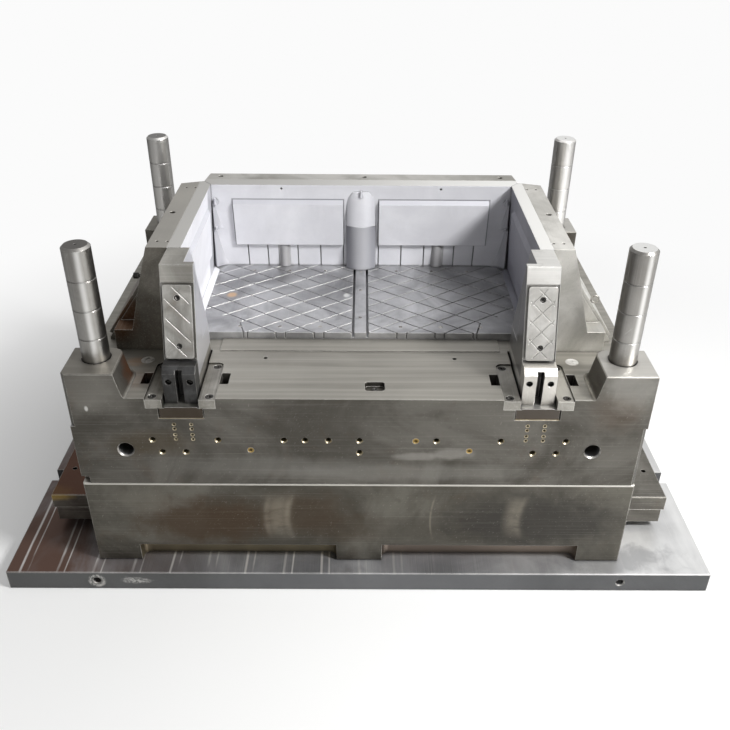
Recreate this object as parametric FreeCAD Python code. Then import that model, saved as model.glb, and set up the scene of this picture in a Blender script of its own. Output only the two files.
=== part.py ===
import FreeCAD, Part
import math
import os

# The ejector half of a large injection mould for an open-fronted box.
# Millimetres. X runs along the clamp plate, -Y is the side with the two corner slides,
# Z is the opening direction. The origin is the middle of the clamp plate's underside.

# Clamp plate
BASE_L = 1700.0
BASE_W = 1000.0
BASE_T = 55.0
CLAMP_SLOT_W = 46.0
CLAMP_SLOT_D = 52.0
CLAMP_SLOT_Y = 135.0
EYE_HOLE_R = 10.5
EYE_HOLE_X = 634.0
EYE_HOLE_DEPTH = 45.0

# Body: two spacer rails below one core plate
BODY_L = 1270.0
BODY_W = 910.0
RAIL_H = 240.0
RAIL_T = 110.0
RECESS_IN_X = 55.0
RECESS_OUT_X = 530.0
RECESS_H = 50.0
RECESS_D = 28.0
RECESS_R = 20.0
CORE_T = 235.0
EDGE_BREAK = 2.0

# Corner towers on the core plate
TOWER_H = 60.0
TOWER_W_TOP = 112.0
TOWER_W_FOOT = 125.0
TOWER_LEN = 113.0
TOWER_ROUND = 26.0
TOWER_ROOT = 40.0
TOWER_FILLET = 10.0
CORNER_CHAMFER = 10.0
CHAMFER_DROP = 135.0
PRY_W = 18.0
PRY_H = 20.0

# Guide pillars
PILLAR_R = 30.0
PILLAR_IN_X = 60.0
PILLAR_IN_Y = 72.0
PILLAR_OUT = 265.0
PILLAR_HEAD_R = 36.0
PILLAR_HEAD_T = 12.0
PILLAR_TIP = 5.0
GROOVE_PITCH = 68.0
GROOVE_FIRST = 74.0
GROOVE_W = 3.0
GROOVE_D = 1.2
CENTRE_HOLE_R = 3.0
PILLAR_SEAT_R = 32.0
PILLAR_SEAT_DOWN = 3.0
CENTRE_HOLE_DEPTH = 12.0
GROOVE_COUNT = 3

# Clearances
PRESS = 0.02
RUN = 0.05
SLIDE = 0.3
SEAT = 0.1
SCREW_GAP = 0.5

# Ejector plates
STOP_T = 20.0
EJ_T = 40.0
EJ_UPPER_L = 1550.0
EJ_LOWER_L = 1536.0
EJ_SIDE_GAP = 11.0
EJ_HOLE_R = 6.0
EJ_HOLE_X = 746.0
EJ_HOLE_IN = 105.0
EJ_PIN_R = 5.0
EJ_HEAD_R = 8.0
EJ_HEAD_T = 6.0
EJ_ROW_REAR = 151.0
EJ_ROW_FRONT = -168.0
EJ_COLS = (98.0, 196.0, 293.0)
EJ_BAR_ROWS = (-120.0, 32.0, 145.0)
RETURN_R = 15.0
RETURN_HEAD_R = 20.0
RETURN_HEAD_T = 10.0
RETURN_X = 491.0
RETURN_IN = 49.0
GUIDE_R = 15.0
GUIDE_X = 560.0
GUIDE_IN = 104.0
GUIDE_SEAT = 22.0
BUSH_R = 22.0
BUSH_FLANGE_R = 27.0
BUSH_FLANGE_T = 6.0
BUSH_OUT = 12.0
BUSH_LONG = 32.0
EJ_SCREW_R = 7.0
EJ_SCREW_L = 50.0
EJ_SCREW_X = (690.0, 400.0, 130.0)
EJ_SCREW_IN = 29.0
STOP_R = 18.0
STOP_X = (650.0, 330.0)
STOP_IN = 49.0
SUPPORT_R = 30.0
SUPPORT_GAP = 3.0
SUPPORT_SPOTS = ((-245.0, -100.0), (245.0, -100.0), (-245.0, 100.0), (245.0, 100.0), (0.0, -45.0))

# Clamp screws through plate and rails
CLAMP_SCREW_R = 12.0
CLAMP_HEAD_R = 18.0
CLAMP_HEAD_T = 24.0
CLAMP_BITE = 38.0
CLAMP_X = (500.0, 190.0)
HEX_SHARE = 0.55

# Holes in the long faces of the core plate
LIFT_R = 18.75
LIFT_X = 522.0
LIFT_Z = 97.0
LIFT_DEPTH = 75.0
WATER_R = 7.25
WATER_DEPTH = 80.0
WATER_HIGH_Z = 125.0
WATER_LOW_Z = 91.5
WATER_HIGH_X = (-459.0, -314.0, -168.0, -121.0, -69.0, 0.0, 171.0, 314.0, 459.0)
WATER_LOW_X = (-441.0, -388.0, 0.0, 388.0, 441.0)
PLUG_SPOTS = ((-243.0, 97.0), (125.0, 124.0), (246.0, 97.0))
PLUG_T = 9.0
PLUG_HEX = 4.0
BRACKET_R = 3.4
BRACKET_DEPTH = 18.0
BRACKET_X = 19.0
BRACKET_Z = (127.0, 139.0, 155.0, 167.0)

# Moulding floor
FLOOR_UP = 20.0
FLOOR_T = 70.0
FLOOR_HALF = 390.0
FLOOR_FRONT = -198.0
FLOOR_BACK = 188.0
FLOOR_R = 48.0
BAR_HALF = 20.0
BAR_TOP_HALF = 14.0
BAR_STEP = 12.0
LATTICE_PITCH = 92.0
LATTICE_SLOPE = 0.74
LATTICE_A = -88.0
LATTICE_B = -111.0
LATTICE_W = 3.0
LATTICE_D = 4.0
PANEL_CORNER_X = -281.0
PANEL_INNER_X = -296.0
PANEL_INNER_Y = -145.0
PANEL_SIDE_Y = -80.0
LAND_UP = 3.0
LAND_HALF = 330.0
LAND_FRONT = -254.0
LAND_HOLE_R = 5.0
LAND_HOLE_X = 220.0
LAND_HOLE_IN = 171.0
LAND_HOLE_DEPTH = 25.0
POCKET_W = 44.0
POCKET_L = 36.0
POCKET_X = 33.0
POCKET_IN = 52.0
POCKET_D = 12.0
POCKET_R = 8.0

# Walls of the moulding space
WALL_UP = 261.0
SIDE_TOP_X = 395.0
SIDE_FOOT_X = 409.0
SIDE_SEAM_X = 426.0
SIDE_OUT_X = 473.0
SIDE_FRONT_Y = -249.0
SIDE_BACK_Y = 170.0
MITRE_X = 416.0
MITRE_Y = 189.0
REAR_TOP_Y = 161.0
REAR_FOOT_Y = 188.0
REAR_SEAM_Y = 205.0
REAR_OUT_Y = 251.0
REAR_HALF_BACK = 409.0
MITRE_GAP = 0.5
MITRE_REACH = 60.0

# Outer side of a wall slide, measured from its outer top edge: outward, down
HEEL_KNEE = (11.0, 37.0)
HEEL_BEND = (28.0, 96.0)
HEEL_WAIST = (57.0, 208.0)
HEEL_FOOT = 100.0
WEDGE_FOOT = (135.0, 250.0)
WEDGE_FRONT_Y = -200.0
WEDGE_BACK_Y = 120.0
REAR_WEDGE_HALF = 330.0
HEEL_PLATE_T = 8.0
HEEL_PLATE_EDGE = 7.0
HEEL_SCREW_R = 5.0
HEEL_SCREW_L = 24.0
HEEL_SCREW_IN = 25.0
HEEL_SCREW_SHARE = 0.3
HEEL_OIL_PITCH = 55.0
HEEL_OIL_TURN = 35.0
TOP_HOLE_R = 7.0
TOP_HOLE_OUT = 5.0
TOP_HOLE_DEPTH = 35.0
REAR_TOP_HOLES = ((-378.0, 35.0), (8.0, 45.0), (374.0, 40.0))
DOWEL_R = 3.5
DOWEL_IN = 33.0
DOWEL_OUT = 19.0
DOWEL_SEAM = 5.0
DOWEL_DEPTH = 6.0

# Panels and ribs on the inner faces
PANEL_LOW = 67.0
PANEL_HIGH = 187.0
PANEL_SLOPE = 12.0
PANEL_PROUD = 8.0
PANEL_IN_X = 48.0
PANEL_OUT_X = 341.0
SIDE_PANEL_FRONT = 70.0
SIDE_PANEL_BACK = 62.0
RIB_X = (48.0, 111.0, 174.0, 257.0, 311.0)
RIB_W = 3.0
RIB_D = 5.0
PIN_HOLE_R = 3.0
PIN_HOLE_DOWN = 10.0
PIN_HOLE_DEPTH = 8.0
BOSS_X = 210.0
BOSS_R = 17.0
BOSS_BACK = 5.0
COLUMN_HALF = 40.0
COLUMN_LOW_SAG = 18.0
COLUMN_UP_SAG = 9.0
COLUMN_LEDGE = 126.0
COLUMN_TOP = 222.0
COLUMN_SHOULDER = 192.0
CONE_R = 8.0
CONE_TIP_R = 1.5
CONE_H = 18.0
CONE_ROOT = 2.0
CORNER_CONE_IN = 12.0
STUD_R = 3.5
STUD_H = 7.0
CORNER_LOW_R = 50.0
CORNER_UP_R = 34.0
CORNER_LEDGE = 115.0

# Rails and wear strips below the wall slides
T_BASE_HALF = 20.0
T_BASE_D = 10.0
T_NECK_HALF = 14.0
T_NECK_H = 10.0
T_HEAD_HALF = 22.0
T_HEAD_H = 12.0
SIDE_T_Y = (-150.0, 70.0)
SIDE_T_START = 470.0
SIDE_T_END = 586.0
REAR_T_X = (-180.0, 180.0)
REAR_T_START = 250.0
REAR_T_END = 364.0
T_SCREW_R = 5.0
T_SCREW_BITE = 18.0
SCREW_HEAD_SHARE = 1.6
STRIP_W = 34.0
STRIP_T = 8.0
SIDE_STRIP_Y = (-218.0, 138.0)
REAR_STRIP_X = (-300.0, 300.0)
SIDE_STRIP_START = 436.0
SIDE_STRIP_END = 566.0
REAR_STRIP_START = 214.0
REAR_STRIP_END = 344.0

# Corner slides
POST_X = 388.0
POST_HALF = 36.0
POST_BACK = -249.5
POST_TOP_IN = 116.0
POST_LEDGE_IN = 56.0
POST_LEDGE_UP = 63.0
FLANGE_IN = 131.0
NOTCH_D = 23.0
NOTCH_H = 190.0
FOOT_IN = 2.0
FOOT_HALF = 48.0
NECK_RISE = 1.5
GIB_W = 36.0
GIB_L = 150.0
GIB_T = 22.0
GIB_DROP = 4.0
GIB_ROUND = 15.0
GIB_SCREW_R = 6.0
GIB_HEAD_R = 9.0
GIB_HEAD_T = 8.0
GIB_SCREW_IN = 14.0
GIB_SCREW_OUT = 4.0
GIB_SCREW_BITE = 16.0
SLOT_FLOOR = 53.0
SLOT_SIDE = 2.0
NECK_GAP = 4.0
CORNER_PLATE_W = 62.0
CORNER_PLATE_L = 161.0
CORNER_PLATE_T = 12.0
CORNER_PLATE_SINK = 6.0
CORNER_PLATE_R = 6.0
CORNER_PLATE_GAP = 4.0
OIL_W = 2.0
OIL_D = 1.2
OIL_PITCH = 42.0
PLATE_SCREW_IN = 28.0
PLATE_SCREW_R = 4.0
COUPLING_IN = 17.0
COUPLING_SHOULDER = 13.0
COUPLING_LIP = 25.0
ROD_SLOT_W = 15.0
ROD_HEAD_W = 34.0
ROD_WEB = 18.0
ROD_HEAD_L = 14.0
ROD_BACK = 6.0
ROD_TOP = 6.5
ROD_HEAD_TOP = 33.0
CHEEK_SCREW_X = 23.0
CHEEK_SCREW_Z = 55.0
CHEEK_SCREW_R = 6.5
CHEEK_SHANK_R = 4.5
CHEEK_HEAD_T = 8.0
CHEEK_SINK = 8.0
CHEEK_BITE = 20.0
PLATE_SCREW_L = 18.0
PLATE_HEAD_T = 5.0
SIDE_POCKET_W = 20.0
SIDE_POCKET_L = 46.0
SIDE_POCKET_D = 30.0
SIDE_POCKET_X = 87.0
SIDE_POCKET_IN = 81.0

# Small fittings on the wall slides
KNOB_R = 7.0
KNOB_STEM_R = 3.85
KNOB_L = 16.0
KNOB_NECK = 5.6
KNOB_Y = -238.0
KNOB_DOWN = 74.0
KNOB_BITE = 12.0
RING_R = 9.0
RING_WIRE = 2.2
RING_STEM_R = 3.0
RING_BITE = 20.0
RING_Y = -184.0
RING_SHARE = 0.42

# Levels and edges that follow from the sizes above
Z_BASE = BASE_T
Z_EJ = Z_BASE + STOP_T
Z_RETAIN = Z_EJ + EJ_T
Z_EJ_TOP = Z_RETAIN + EJ_T
Z_CORE = Z_BASE + RAIL_H
Z_LAND = Z_CORE + CORE_T
Z_TOWER = Z_LAND + TOWER_H
Z_FLOOR = Z_LAND + FLOOR_UP
Z_POCKET = Z_FLOOR - FLOOR_T
Z_WALL = Z_LAND + WALL_UP
Z_SLIDE = Z_LAND + SLIDE
FRONT = -BODY_W / 2
BACK = BODY_W / 2
SIDE = BODY_L / 2
RAIL_MID = BACK - RAIL_T / 2
RAIL_FACE = BACK - RAIL_T
PILLAR_X = SIDE - PILLAR_IN_X
PILLAR_Y = BACK - PILLAR_IN_Y
EJ_EDGE = RAIL_FACE - EJ_SIDE_GAP
EJ_HOLE_Y = EJ_EDGE - EJ_HOLE_IN
EJ_SCREW_Y = EJ_EDGE - EJ_SCREW_IN
GUIDE_Y = EJ_EDGE - GUIDE_IN
STOP_Y = EJ_EDGE - STOP_IN
RETURN_Y = RAIL_FACE - RETURN_IN
LAND_HOLE_Y = FRONT + LAND_HOLE_IN
POCKET_Y = FRONT + POCKET_IN
POST_TOP_Y = FRONT + POST_TOP_IN
POST_LEDGE_Y = FRONT + POST_LEDGE_IN
FLANGE_Y = FRONT + FLANGE_IN
FOOT_FRONT = FRONT + FOOT_IN
COUPLING_FRONT = FRONT + COUPLING_IN
SIDE_POCKET_Y = FRONT + SIDE_POCKET_IN
Z_SLOT = Z_LAND - SLOT_FLOOR
Z_GIB_TOP = Z_LAND - GIB_DROP
Z_GIB = Z_GIB_TOP - GIB_T
Z_LEDGE = Z_LAND + POST_LEDGE_UP
GIB_BACK = FRONT + GIB_L
TILT = math.degrees(math.atan2(POST_TOP_Y - POST_LEDGE_Y, Z_WALL - Z_LEDGE))
FAR = 3000.0

X_AXIS = FreeCAD.Vector(1, 0, 0)
Y_AXIS = FreeCAD.Vector(0, 1, 0)
Z_AXIS = FreeCAD.Vector(0, 0, 1)
ZERO = FreeCAD.Vector(0, 0, 0)


def vec(x, y, z):
    return FreeCAD.Vector(x, y, z)


def box(x0, x1, y0, y1, z0, z1):
    low = vec(min(x0, x1), min(y0, y1), min(z0, z1))
    return Part.makeBox(abs(x1 - x0), abs(y1 - y0), abs(z1 - z0), low)


def rod(radius, x, y, z, length, axis=Z_AXIS):
    return Part.makeCylinder(radius, length, vec(x, y, z), axis)


def closed_face(corners):
    return Part.Face(Part.makePolygon(corners + [corners[0]]))


def prism_x(yz, x0, x1):
    face = closed_face([vec(x0, y, z) for y, z in yz])
    return face.extrude(vec(x1 - x0, 0, 0))


def prism_y(xz, y0, y1):
    face = closed_face([vec(x, y0, z) for x, z in xz])
    return face.extrude(vec(0, y1 - y0, 0))


def prism_z(xy, z0, z1):
    face = closed_face([vec(x, y, z0) for x, y in xy])
    return face.extrude(vec(0, 0, z1 - z0))


def mirror_x(shape):
    return shape.mirror(ZERO, X_AXIS)


def mirror_y(shape):
    return shape.mirror(ZERO, Y_AXIS)


def edges_where(shape, test):
    return [edge for edge in shape.Edges if test(edge.BoundBox)]


def round_upright(shape, radius, test):
    chosen = edges_where(shape, lambda b: b.ZLength > 1 and b.XLength < 0.01 and b.YLength < 0.01 and test(b))
    return shape.makeFillet(radius, chosen)


def fuse(shapes):
    return shapes[0].multiFuse(shapes[1:]).removeSplitter() if len(shapes) > 1 else shapes[0]


def hex_prism(across, x, y, z, length, axis=Z_AXIS):
    corner = across / math.sqrt(3)
    flat = [vec(corner * math.cos(k * math.pi / 3), corner * math.sin(k * math.pi / 3), 0) for k in range(6)]
    solid = closed_face(flat).extrude(vec(0, 0, length))
    solid.Placement = FreeCAD.Placement(vec(x, y, z), FreeCAD.Rotation(Z_AXIS, axis))
    return solid


def cap_screw(radius, head_r, head_t, x, y, z, shank, axis=Z_AXIS):
    # z is the outer end of the head, and the axis points from there into the work
    head = rod(head_r, x, y, z, head_t, axis)
    end = vec(x, y, z) + axis * head_t
    body = head.fuse(Part.makeCylinder(radius, shank, end, axis))
    socket = hex_prism(head_r * 2 * HEX_SHARE, x, y, z, head_t * HEX_SHARE, axis)
    return body.cut(socket).removeSplitter()


def save(name, shape):
    os.makedirs("parts", exist_ok=True)
    shape.exportStep("parts/" + name + ".step")


def four(x, y):
    return [(sx * x, sy * y) for sx in (-1, 1) for sy in (-1, 1)]


CLAMP_SPOTS = [spot for x in CLAMP_X for spot in four(x, RAIL_MID)]
STOP_SPOTS = [spot for x in STOP_X for spot in four(x, STOP_Y)]
EJ_SCREW_SPOTS = [spot for x in EJ_SCREW_X for spot in four(x, EJ_SCREW_Y)]
EJ_PIN_SPOTS = [(s * x, y) for s in (-1, 1) for x in EJ_COLS for y in (EJ_ROW_FRONT, EJ_ROW_REAR)]
EJ_PIN_SPOTS += [(0.0, y) for y in EJ_BAR_ROWS]
RETURN_SPOTS = four(RETURN_X, RETURN_Y)
GUIDE_SPOTS = four(GUIDE_X, GUIDE_Y)
PILLAR_SPOTS = four(PILLAR_X, PILLAR_Y)


# Clamp plate with open clamp slots in its short edges
def clamp_plate():
    plate = box(-BASE_L / 2, BASE_L / 2, -BASE_W / 2, BASE_W / 2, 0, BASE_T)
    plate = plate.makeChamfer(EDGE_BREAK, plate.Edges)
    cuts = []
    for x, y in four(BASE_L / 2, CLAMP_SLOT_Y):
        inner = x - math.copysign(CLAMP_SLOT_D - CLAMP_SLOT_W / 2, x)
        cuts.append(rod(CLAMP_SLOT_W / 2, inner, y, -1, BASE_T + 2))
        outer = x + math.copysign(1, x)
        cuts.append(box(inner, outer, y - CLAMP_SLOT_W / 2, y + CLAMP_SLOT_W / 2, -1, BASE_T + 1))
    for x in (-EYE_HOLE_X, EYE_HOLE_X):
        cuts.append(rod(EYE_HOLE_R, x, -BASE_W / 2 - 1, BASE_T / 2, EYE_HOLE_DEPTH + 1, Y_AXIS))
        cuts.append(rod(EYE_HOLE_R, x, BASE_W / 2 + 1, BASE_T / 2, EYE_HOLE_DEPTH + 1, -Y_AXIS))
    for x, y in CLAMP_SPOTS:
        cuts.append(rod(CLAMP_SCREW_R + SCREW_GAP, x, y, -1, BASE_T + 2))
        cuts.append(rod(CLAMP_HEAD_R + SCREW_GAP, x, y, -1, CLAMP_HEAD_T + 3))
    for x, y in GUIDE_SPOTS:
        cuts.append(rod(GUIDE_R + PRESS, x, y, Z_BASE - GUIDE_SEAT, GUIDE_SEAT + 1))
    return plate.cut(cuts)


# Spacer rail with two clamp recesses along its outer foot
def spacer_rail():
    rail = box(-SIDE, SIDE, FRONT, FRONT + RAIL_T, Z_BASE, Z_CORE)
    rail = rail.makeChamfer(EDGE_BREAK, edges_where(rail, lambda b: b.YMax < FRONT + 1))
    for sign in (-1, 1):
        x0, x1 = sorted((sign * RECESS_IN_X, sign * RECESS_OUT_X))
        gap = box(x0, x1, FRONT - RECESS_R * 2, FRONT + RECESS_D, Z_BASE - 1, Z_BASE + RECESS_H)
        gap = round_upright(gap, RECESS_R, lambda b: b.YMin > FRONT)
        rail = rail.cut(gap)
    holes = [rod(CLAMP_SCREW_R + SCREW_GAP, x, y, Z_BASE - 1, RAIL_H + 2) for x, y in CLAMP_SPOTS if y < 0]
    return rail.cut(holes)


# Corner tower: leaning inner side, rounded inner corner at the back
def tower():
    top_in = SIDE - TOWER_W_TOP
    foot_in = SIDE - TOWER_W_FOOT
    lean = (top_in - foot_in) / TOWER_H
    low = Z_LAND - TOWER_ROOT
    outline = [(foot_in - lean * TOWER_ROOT, low), (top_in, Z_TOWER), (SIDE, Z_TOWER), (SIDE, low)]
    block = prism_y(outline, FRONT, FRONT + TOWER_LEN)
    corner = edges_where(block, lambda b: b.YMin > FRONT + 1 and b.ZLength > 1 and b.XMax < SIDE - 1)
    block = block.makeFillet(TOWER_ROUND, corner)
    rim = edges_where(block, lambda b: b.ZMin > Z_TOWER - 0.01)
    return block.makeChamfer(EDGE_BREAK, rim)


def floor_outline(grow, z0, z1):
    half = FLOOR_HALF + grow
    block = box(-half, half, FLOOR_FRONT - grow, FLOOR_BACK + grow, z0, z1)
    return round_upright(block, FLOOR_R + grow, lambda b: b.YMin > 0)


def gib_outline(grow, z0, z1):
    # the outer gib of the right corner slide, its free rear corner rounded
    x0 = POST_X + POST_HALF + NECK_GAP
    x1 = x0 + GIB_W + grow
    block = box(x0, x1, FRONT, GIB_BACK + grow, z0, z1)
    return round_upright(block, GIB_ROUND, lambda b: b.YMin > FRONT + 1 and b.XMin > x0 + 1)


def both_gibs(shape):
    # a shape beside the right slide and its twin on the slide's other side
    twin = shape.mirror(vec(POST_X, 0, 0), X_AXIS)
    return [shape, twin]


def t_rail_spots():
    spots = [("x", sign, y) for sign in (-1, 1) for y in SIDE_T_Y]
    return spots + [("y", 1, x) for x in REAR_T_X]


def along(kind, sign, start, end, mid, half, z0, z1):
    if kind == "x":
        return box(sign * start, sign * end, mid - half, mid + half, z0, z1)
    return box(mid - half, mid + half, start, end, z0, z1)


def corner_slide_room():
    x0 = POST_X - POST_HALF - NECK_GAP
    x1 = POST_X + POST_HALF + NECK_GAP
    neck = box(x0, x1, FRONT - 1, POST_BACK + 2, Z_SLOT, Z_LAND + 1)
    wide = FOOT_HALF + SLOT_SIDE
    flange = box(POST_X - wide, POST_X + wide, FRONT - 1, GIB_BACK + 5, Z_SLOT, Z_GIB)
    room = [neck, flange]
    seat = gib_outline(SEAT, Z_GIB, Z_LAND + 1)
    room += both_gibs(seat)
    pocket = box(POST_X + SIDE_POCKET_X - SIDE_POCKET_W / 2, POST_X + SIDE_POCKET_X + SIDE_POCKET_W / 2,
                 SIDE_POCKET_Y - SIDE_POCKET_L / 2, SIDE_POCKET_Y + SIDE_POCKET_L / 2,
                 Z_LAND - SIDE_POCKET_D, Z_LAND + 1)
    room += both_gibs(pocket)
    for spot_y in (FRONT + GIB_SCREW_IN, GIB_BACK - GIB_SCREW_IN):
        deep = GIB_SCREW_BITE + 4
        hole = rod(GIB_SCREW_R + RUN, gib_screw_x(), spot_y, Z_GIB - deep, deep + 1)
        room += both_gibs(hole)
    for x in (-BRACKET_X, BRACKET_X):
        for z in BRACKET_Z:
            room.append(rod(BRACKET_R, POST_X + x, FRONT - 1, Z_CORE + z, BRACKET_DEPTH + 1, Y_AXIS))
    return room


def gib_screw_x():
    return POST_X + POST_HALF + NECK_GAP + GIB_W / 2 + GIB_SCREW_OUT


def tower_foot(edge):
    # true for the lines where a tower's inner sides meet the land
    box_of = edge.BoundBox
    mid = edge.CenterOfMass
    level = box_of.ZLength < 0.01 and abs(mid.z - Z_LAND) < 0.01
    near = abs(mid.x) > SIDE - TOWER_W_FOOT - 1 and abs(mid.y) > BACK - TOWER_LEN - 1
    return level and near and abs(mid.x) < SIDE - 1 and abs(mid.y) < BACK - 1


# Four towers on the corners of the core plate, rounded where they meet the land
def corner_towers():
    ground = box(-SIDE, SIDE, FRONT, BACK, Z_LAND - TOWER_ROOT, Z_LAND)
    corner = tower()
    towers = [corner, mirror_x(corner), mirror_y(corner), mirror_x(mirror_y(corner))]
    whole = fuse([ground] + towers)
    foot = [edge for edge in whole.Edges if tower_foot(edge)]
    whole = whole.makeFillet(TOWER_FILLET, foot)
    whole = whole.cut(pillar_seats() + corner_chamfers())
    above = box(-SIDE - 1, SIDE + 1, FRONT - 1, BACK + 1, Z_LAND, Z_TOWER + 1)
    return whole.common(above)


def pillar_seats():
    return [rod(PILLAR_SEAT_R + PRESS, x, y, Z_CORE - 1, CORE_T + TOWER_H + 2) for x, y in PILLAR_SPOTS]


def corner_chamfers():
    upper = [(-SIDE - 1, FRONT - 1), (-SIDE + CORNER_CHAMFER, FRONT - 1), (-SIDE - 1, FRONT + CORNER_CHAMFER)]
    lower = [(-x, y) for x, y in upper]
    split = Z_TOWER - CHAMFER_DROP
    return [prism_z(upper, split, Z_TOWER + 1), prism_z(lower, Z_CORE - 1, split)]


# Core plate: floor pocket, slide ways, water lines, lifting holes
def core_plate():
    block = box(-SIDE, SIDE, FRONT, BACK, Z_CORE, Z_LAND)
    land = box(-LAND_HALF, LAND_HALF, LAND_FRONT, FLOOR_FRONT - SEAT, Z_LAND - 1, Z_LAND + LAND_UP)
    plate = fuse([block, land])
    cuts = [floor_outline(SEAT, Z_POCKET, Z_LAND + LAND_UP + 1)]
    cuts += pillar_seats() + corner_chamfers()
    right = corner_slide_room()
    cuts += right + [mirror_x(shape) for shape in right]
    for x, y in PILLAR_SPOTS:
        cuts.append(rod(PILLAR_HEAD_R + SCREW_GAP, x, y, Z_CORE - 1, PILLAR_HEAD_T + 1))
    for x, y in RETURN_SPOTS:
        cuts.append(rod(RETURN_R + RUN, x, y, Z_CORE - 1, CORE_T + 2))
    for x, y in EJ_PIN_SPOTS:
        cuts.append(rod(EJ_PIN_R + RUN, x, y, Z_CORE - 1, CORE_T + 2))
    for x, y in GUIDE_SPOTS:
        cuts.append(rod(GUIDE_R + PRESS, x, y, Z_CORE - 1, GUIDE_SEAT + 1))
    for x, y in CLAMP_SPOTS:
        cuts.append(rod(CLAMP_SCREW_R + RUN, x, y, Z_CORE - 1, CLAMP_BITE + 5))
    for y, axis in ((FRONT - 1, Y_AXIS), (BACK + 1, -Y_AXIS)):
        for x in (-LIFT_X, LIFT_X):
            cuts.append(rod(LIFT_R, x, y, Z_CORE + LIFT_Z, LIFT_DEPTH + 1, axis))
        for x in WATER_HIGH_X:
            cuts.append(rod(WATER_R, x, y, Z_CORE + WATER_HIGH_Z, WATER_DEPTH + 1, axis))
        for x in WATER_LOW_X:
            cuts.append(rod(WATER_R, x, y, Z_CORE + WATER_LOW_Z, WATER_DEPTH + 1, axis))
    for x, z in PLUG_SPOTS:
        cuts.append(rod(WATER_R, x, FRONT - 1, Z_CORE + z, WATER_DEPTH + 1, Y_AXIS))
    for x, axis in ((-SIDE - 1, X_AXIS), (SIDE + 1, -X_AXIS)):
        cuts.append(rod(LIFT_R, x, 0, Z_CORE + CORE_T / 2, LIFT_DEPTH + 1, axis))
    for x in (-LAND_HOLE_X, LAND_HOLE_X):
        cuts.append(rod(LAND_HOLE_R, x, LAND_HOLE_Y, Z_LAND - LAND_HOLE_DEPTH, LAND_HOLE_DEPTH + 1))
    pocket = box(POCKET_X - POCKET_W / 2, POCKET_X + POCKET_W / 2, POCKET_Y - POCKET_L / 2,
                 POCKET_Y + POCKET_L / 2, Z_LAND - POCKET_D, Z_LAND + 1)
    cuts.append(round_upright(pocket, POCKET_R, lambda b: True))
    screw_z = Z_LAND - POCKET_D - PLATE_SCREW_L
    cuts.append(rod(PLATE_SCREW_R + RUN, POCKET_X, POCKET_Y, screw_z, PLATE_SCREW_L + 1))
    for kind, sign, mid in t_rail_spots():
        start = SIDE_T_START if kind == "x" else REAR_T_START
        end = SIDE_T_END if kind == "x" else REAR_T_END
        low = Z_LAND - T_BASE_D
        cuts.append(along(kind, sign, start - SEAT, end + SEAT, mid, T_BASE_HALF + SEAT, low, Z_LAND + 1))
        for x, y in t_screw_spots(kind, sign, mid):
            cuts.append(rod(T_SCREW_R + RUN, x, y, low - T_SCREW_BITE - 3, T_SCREW_BITE + 4))
    cuts += wear_strips(SEAT, 1)
    cuts.append(box(-SIDE - 1, -SIDE + PRY_W, FRONT - 1, FRONT + PRY_W, Z_CORE - 1, Z_CORE + PRY_H))
    return plate.cut(cuts)


def wear_strips(grow, rise):
    strips = []
    for sign in (-1, 1):
        for y in SIDE_STRIP_Y:
            strips.append(along("x", sign, SIDE_STRIP_START - grow, SIDE_STRIP_END + grow, y,
                                STRIP_W / 2 + grow, Z_LAND - STRIP_T, Z_LAND + rise))
    for x in REAR_STRIP_X:
        strips.append(along("y", 1, REAR_STRIP_START - grow, REAR_STRIP_END + grow, x,
                            STRIP_W / 2 + grow, Z_LAND - STRIP_T, Z_LAND + rise))
    return strips


# Guide pillar: head and thicker seat in the core plate, oil grooves, chamfered tip
def guide_pillar(x, y):
    top = Z_TOWER + PILLAR_OUT
    seat_top = Z_TOWER - PILLAR_SEAT_DOWN
    free = rod(PILLAR_R, x, y, seat_top - 1, top - seat_top + 1)
    free = free.makeChamfer(PILLAR_TIP, edges_where(free, lambda b: b.ZMin > top - 0.01))
    seat = rod(PILLAR_SEAT_R, x, y, Z_CORE, seat_top - Z_CORE)
    pillar = fuse([free, seat, rod(PILLAR_HEAD_R, x, y, Z_CORE, PILLAR_HEAD_T)])
    cuts = [rod(CENTRE_HOLE_R, x, y, top - CENTRE_HOLE_DEPTH, CENTRE_HOLE_DEPTH + 1)]
    for k in range(GROOVE_COUNT):
        z = top - GROOVE_FIRST - k * GROOVE_PITCH
        ring = rod(PILLAR_R + 1, x, y, z, GROOVE_W).cut(rod(PILLAR_R - GROOVE_D, x, y, z, GROOVE_W))
        cuts.append(ring)
    return pillar.cut(cuts)


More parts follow.
